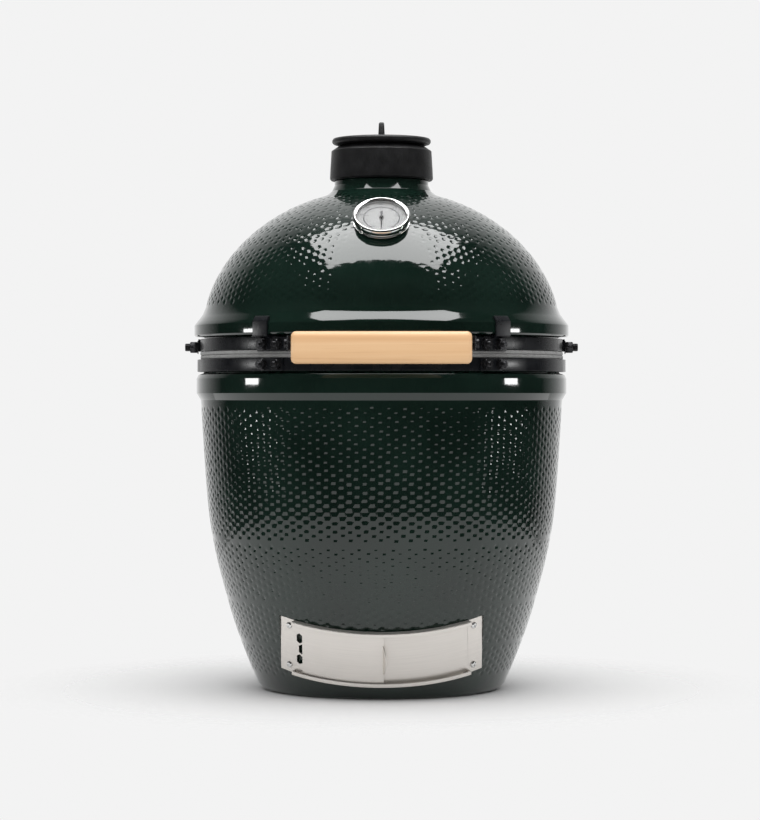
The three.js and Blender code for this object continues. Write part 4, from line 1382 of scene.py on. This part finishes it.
def add_figure(shape, text, size, x, y, z):
    """A raised figure, centred at a place on the dial, in the shape's second material."""
    curve = bpy.data.curves.new("figure", "FONT")
    curve.body = text
    curve.size = size
    curve.align_x = "CENTER"
    curve.align_y = "CENTER"
    curve.extrude = 0.04 * MM
    curve.resolution_u = 2
    holder = bpy.data.objects.new("figure", curve)
    mesh = bpy.data.meshes.new_from_object(holder)
    faces = [tuple(p.vertices) for p in mesh.polygons]
    shape.add([v.co for v in mesh.vertices], faces, 1, DIAL @ shifted(x, y, z))
    bpy.data.objects.remove(holder)
    bpy.data.meshes.remove(mesh)
    bpy.data.curves.remove(curve)


def gauge():
    """The case, bezel and glass, the dial and needle, and the probe with its nut."""
    turned_copy("gauge_case", "dial_case", STEEL, 0.7 * MM, SMALL_STEPS, place=DIAL, steps=5)
    turned_copy("gauge_bezel", "dial_bezel", STEEL, 1.3 * MM, SMALL_STEPS, place=DIAL, steps=5)
    turned_copy("gauge_glass", "dial_glass", GLASS, 0.4 * MM, SMALL_STEPS, place=DIAL)
    dial()
    needle()
    turned_copy("gauge_stem", "probe", STEEL, 0.6 * MM, 32, place=DIAL)
    low, high = node_span("gauge_nut", DIAL)["height"]
    nut = add_nut(Shape(), DIAL @ Matrix.Rotation(math.pi, 4, "X"), 15.6 * MM, -high, -low)
    stand_for(nut.build("probe_nut", STEEL), "gauge_nut")


def dial():
    """A white dial with a grey ring, graduations and two rings of figures."""
    node = "gauge_dial"
    span = node_span(node, DIAL)
    radius, bottom, face = span["radius"][1], span["height"][0], span["height"][1] - 0.15 * MM
    bore, ink_low, printed = 1.8 * MM, face - 0.05 * MM, face + 0.05 * MM
    outline = [(bore, bottom), (radius, bottom), (radius, face), (radius * 0.97, face), (bore, face)]
    shape = Shape().turned(outline, SMALL_STEPS, place=DIAL)
    start, sweep, marks = DIAL_SCALE["start"], DIAL_SCALE["sweep"], DIAL_SCALE["marks"]
    shape.turned(oblong(*DIAL_RING, ink_low, printed), SMALL_STEPS, start, start + sweep, 2, DIAL)
    for k in range(marks + 1):
        inner, half = TICK["short"] if k % 5 else TICK["long"]
        tick = oblong(inner, TICK["end"], -half, half)
        turn = turn_z(start + sweep * k / marks - 90)
        shape.plate(tick, ink_low, printed, finish=1, place=DIAL @ turn)
    for k in range(marks // 5 + 1):
        angle = math.radians(start + sweep * k / (marks // 5))
        for reach, size, step in FIGURES:
            add_figure(shape, str(step * k), size, reach * math.sin(angle), -reach * math.cos(angle),
                       printed - 0.03 * MM)
    stand_for(shape.build("dial_plate", DIAL_FACE, DIAL_INK, DIAL_GREY, weld=False), node)


def needle():
    """A tapering pointer with a broad counterweight and a domed hub."""
    node = "gauge_needle"
    points = node_points(node, DIAL)
    low = float(points[:, 2].min())
    tail, tip = float(points[:, 1].max()), float(points[:, 1].min())
    z = float(points[points[:, 1] < 0.9 * tip][:, 2].min())
    pointer = [(-1.3 * MM, 0.0), (-0.35 * MM, tip), (0.35 * MM, tip), (1.3 * MM, 0.0)]
    shape = Shape().plate(pointer, z, z + 0.5 * MM, 0.1 * MM, place=DIAL)
    weight = rounded([(-1.1 * MM, 0.0), (1.1 * MM, 0.0), (1.9 * MM, tail), (-1.9 * MM, tail)], 0.7 * MM)
    shape.plate(weight, z, z + 0.5 * MM, 0.1 * MM, finish=1, place=DIAL)
    hub = rounded([(0, low), (1.2 * MM, low), (1.2 * MM, z - 0.2 * MM), (3.2 * MM, z - 0.2 * MM),
                   (3.2 * MM, z + 0.9 * MM), (0, z + 1.3 * MM)], 0.5 * MM)
    shape.turned(hub, 40, place=DIAL)
    return stand_for(shape.build("pointer", NEEDLE, DIAL_GREY), node)


# ---- Chimney cap ----


def vent_cutters(turn, low, high):
    """Five sector holes with rounded corners."""
    shape = Shape()
    inner, outer, half = VENTS["inner"], VENTS["outer"], VENTS["half"]
    for k in range(VENTS["count"]):
        middle = turn + 360 * k / VENTS["count"]
        outline = []
        for radius, order in ((inner, 1), (outer, -1)):
            for step in range(9)[::order]:
                angle = math.radians(middle - half + 2 * half * step / 8)
                outline.append((radius * math.sin(angle), -radius * math.cos(angle)))
        shape.plate(rounded(outline, 2 * MM, least_turn=50), low, high)
    return shape.build("vents")


def cap_hole(low, high):
    """The pivot bolt's hole through the collar or the plate."""
    outline = circle(CAP_BOLT["hole"], x=CAP_PIVOT.x, y=CAP_PIVOT.y)
    return Shape().plate(outline, low, high).build("pivot_hole")


def cap_collar():
    collar = turned_copy("cap_collar", "chimney_collar", IRON, 1.5 * MM, 2 * SMALL_STEPS)
    crisp(combined(collar, [cap_hole(CAP_PIVOT.z - 20 * MM, CAP_PIVOT.z + 20 * MM)]))


def cap_plate():
    """The swinging plate, with its vents, its pivot hole and the rotor's centre hole."""
    low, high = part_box("cap_plate")
    bottom, top = low.z - 10 * MM, high.z + 10 * MM
    plate = turned_copy("cap_plate", "cap_disc", IRON, 1.4 * MM, 2 * SMALL_STEPS, 45, least_turn=18)
    centre = Shape().plate(circle(4.5 * MM), bottom, top).build("centre")
    vents = vent_cutters(0, bottom - 10 * MM, top + 10 * MM)
    crisp(combined(plate, [vents, cap_hole(bottom, top), centre]))


def cap_bolt():
    """The bolt on which the cap swings: a thread, a nut and the stud's end in it."""
    low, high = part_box("cap_pivot_bolt")
    place = shifted(CAP_PIVOT.x, CAP_PIVOT.y, 0)
    head = high.z - CAP_BOLT["nut_height"]
    shape = Shape().turned(thread(CAP_BOLT["stud"], low.z, head + 0.5 * MM), 24, place=place)
    add_nut(shape, place, CAP_BOLT["nut"], head, high.z)
    wide, start = CAP_BOLT["stud"] - 0.1 * MM, head + 1 * MM
    end = [(0, start), (wide, start), (wide, high.z - 1.2 * MM), (0, high.z - 0.9 * MM)]
    shape.turned(end, 24, place=place)
    stand_for(shape.build("pivot_bolt", ZINC), "cap_pivot_bolt")


def rotor():
    """The turning vent: a slotted disc with a raised rim, a hub and an upright finger tab."""
    low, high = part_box("vent_rotor")
    radius = high.x
    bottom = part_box("cap_pivot_bolt")[1].z - CAP_BOLT["nut_height"]
    top = bottom + 3 * MM
    outline = [(0, bottom), (radius, bottom), (radius, top), (radius - 4 * MM, top),
               (radius - 5 * MM, top - 0.9 * MM), (13 * MM, top - 0.9 * MM), (11 * MM, top + 0.4 * MM),
               (9 * MM, top + 3 * MM), (0, top + 3.4 * MM)]
    disc = Shape().turned(rounded(outline, 0.8 * MM), 2 * SMALL_STEPS).build("vent_disc", IRON)
    combined(disc, [vent_cutters(180 / VENTS["count"], low.z - 10 * MM, high.z + 10 * MM)])
    stub = Shape().plate(circle(4.1 * MM), low.z, bottom + 1 * MM)
    fin = [(-42, top / MM - 1.5), (-4, top / MM - 1.5), (-8, top / MM + 9), (-17, high.z / MM - 3),
           (-22, high.z / MM), (-31, high.z / MM), (-36, high.z / MM - 3), (-40, top / MM + 10)]
    fin = rounded([(y * MM, z * MM) for y, z in fin], 5 * MM, least_turn=8, steps=5)
    tab = Shape().plate(fin, -5 * MM, 5 * MM, 1.6 * MM, place=SIDEWAYS)
    # the tab gets thinner upwards
    tab.points = [(x * (1 - 0.22 * max(0, z - top) / (high.z - top)), y, z) for x, y, z in tab.points]
    combined(disc, [stub.build("stub"), tab.build("tab")], "UNION")
    crisp(disc)
    return stand_for(disc, "vent_rotor")


# ---- Stage, light and camera ----


def stage_mesh(name, points, faces, material):
    mesh = bpy.data.meshes.new(name)
    mesh.from_pydata(points, [], faces)
    mesh.materials.append(material)
    return placed(name, mesh)


def stage():
    """The floor, and a plain background of the same tone."""
    reach = 30
    corners = [(x, y, 0) for x, y in oblong(-reach, reach, -reach, reach)]
    floor = stage_mesh("floor", corners, [(0, 1, 2, 3)], floor_paint())
    world = bpy.data.worlds.new("studio")
    bpy.context.scene.world = world
    world.use_nodes = True
    tone = world.node_tree.nodes["Background"].inputs["Color"]
    tone.default_value = (BACKGROUND, BACKGROUND, BACKGROUND, 1)
    bpy.context.scene.view_settings.view_transform = "Standard"


def dark_room():
    """A dark shell round the front and over the grill, which only reflections see.

    It stands on the floor where the pale part of it ends, and is open behind for the backdrop.
    """
    columns, rows = 48, 14
    points, faces = [], []
    for row in range(rows + 1):
        rise = math.radians(90 * row / rows)
        for column in range(columns + 1):
            turn = math.radians(ROOM["open_from"] * (2 * column / columns - 1))
            reach = ROOM["radius"] * math.cos(rise)
            points.append(round_axis(reach, turn, ROOM["height"] * math.sin(rise)))
    for row in range(rows):
        for column in range(columns):
            start = row * (columns + 1) + column
            faces.append((start, start + 1, start + columns + 2, start + columns + 1))
    room = stage_mesh("dark_room", points, faces, room_paint())
    room.visible_camera = False
    room.visible_diffuse = False
    room.visible_shadow = False
    room.visible_transmission = False


def lamp(name, place, size, target, radiance, diffuse=True, glossy=True):
    """A rectangular lamp, which the camera doesn't see."""
    light = bpy.data.lights.new(name, "AREA")
    light.shape = "RECTANGLE"
    light.size, light.size_y = size
    light.energy = radiance * math.pi * size[0] * size[1]
    obj = placed(name, light)
    obj.location = place
    obj.rotation_euler = (Vector(target) - Vector(place)).to_track_quat("-Z", "Y").to_euler()
    obj.visible_camera = False
    obj.visible_diffuse = diffuse
    obj.visible_glossy = glossy


def lights():
    """Two lamps overhead, one for the gloss only; small windows at the sides; a front fill."""
    middle = (0, 0, 0.45)
    above, below, size = (0.04, -0.27, 1.9), (0.04, -0.27, 0), (1.6, 0.95)
    lamp("softbox", above, size, below, 6.0, diffuse=False)
    lamp("sky", above, size, below, 4.4, glossy=False)
    for side in (-1, 1):
        lamp(f"window_{side}", (side * 1.12, -0.26, 0.495), (0.2, 0.08), middle, 15, diffuse=False)
    lamp("fill", (0, -2.4, 2.2), (2.0, 1.5), middle, 1.6, glossy=False)


def camera():
    data = bpy.data.cameras.new("camera")
    data.lens = CAMERA["lens"]
    data.sensor_width = 36
    data.shift_x = CAMERA["shift_x"]
    data.shift_y = CAMERA["shift_y"]
    obj = placed("camera", data)
    obj.location = (0, -CAMERA["distance"], CAMERA["height"])
    obj.rotation_euler = (math.radians(90), 0, 0)
    bpy.context.scene.camera = obj


# ---- The grill ----

camera()
stage()
dark_room()
lights()

glazed_base()
glazed_dome()
fire_box()
turned_copy("fire_ring", "fire_collar", FIRECLAY, 4 * MM, 144, 180)
fire_grate()
cooking_grid()
felt_ring("lower_gasket", "lower_felt", 11)
felt_ring("upper_gasket", "upper_felt", 27)
for level in ("lower", "upper"):
    for part in ("front", "rear"):
        band_part(f"{level}_band_{part}", f"{level}_strap_{part}")
for number in range(1, 5):
    band_bolt(f"lower_band_bolt_{number}", f"strap_bolt_{number}")
    band_bolt(f"bracket_bolt_{number}", f"handle_bolt_{number}")
for hand in ("left", "right"):
    band_bolt(f"side_bolt_{hand}", f"clamp_bolt_{hand}")
    band_bolt(f"hinge_lower_bolt_{hand}", f"lower_arm_bolt_{hand}")
    band_bolt(f"hinge_upper_bolt_{hand}", f"upper_arm_bolt_{hand}")
    hinge_spring(hand)
    hinge_pin(hand)
eased_copy("hinge_lower_bracket", "lower_hinge_arms")
eased_copy("hinge_upper_bracket", "upper_hinge_arms")
handle()
draft_frame()
draft_door()
draft_screen()
draft_screws()
gauge()
cap_collar()
felt_ring("cap_gasket", "cap_felt", 41)
cap_plate()
cap_bolt()
rotor()
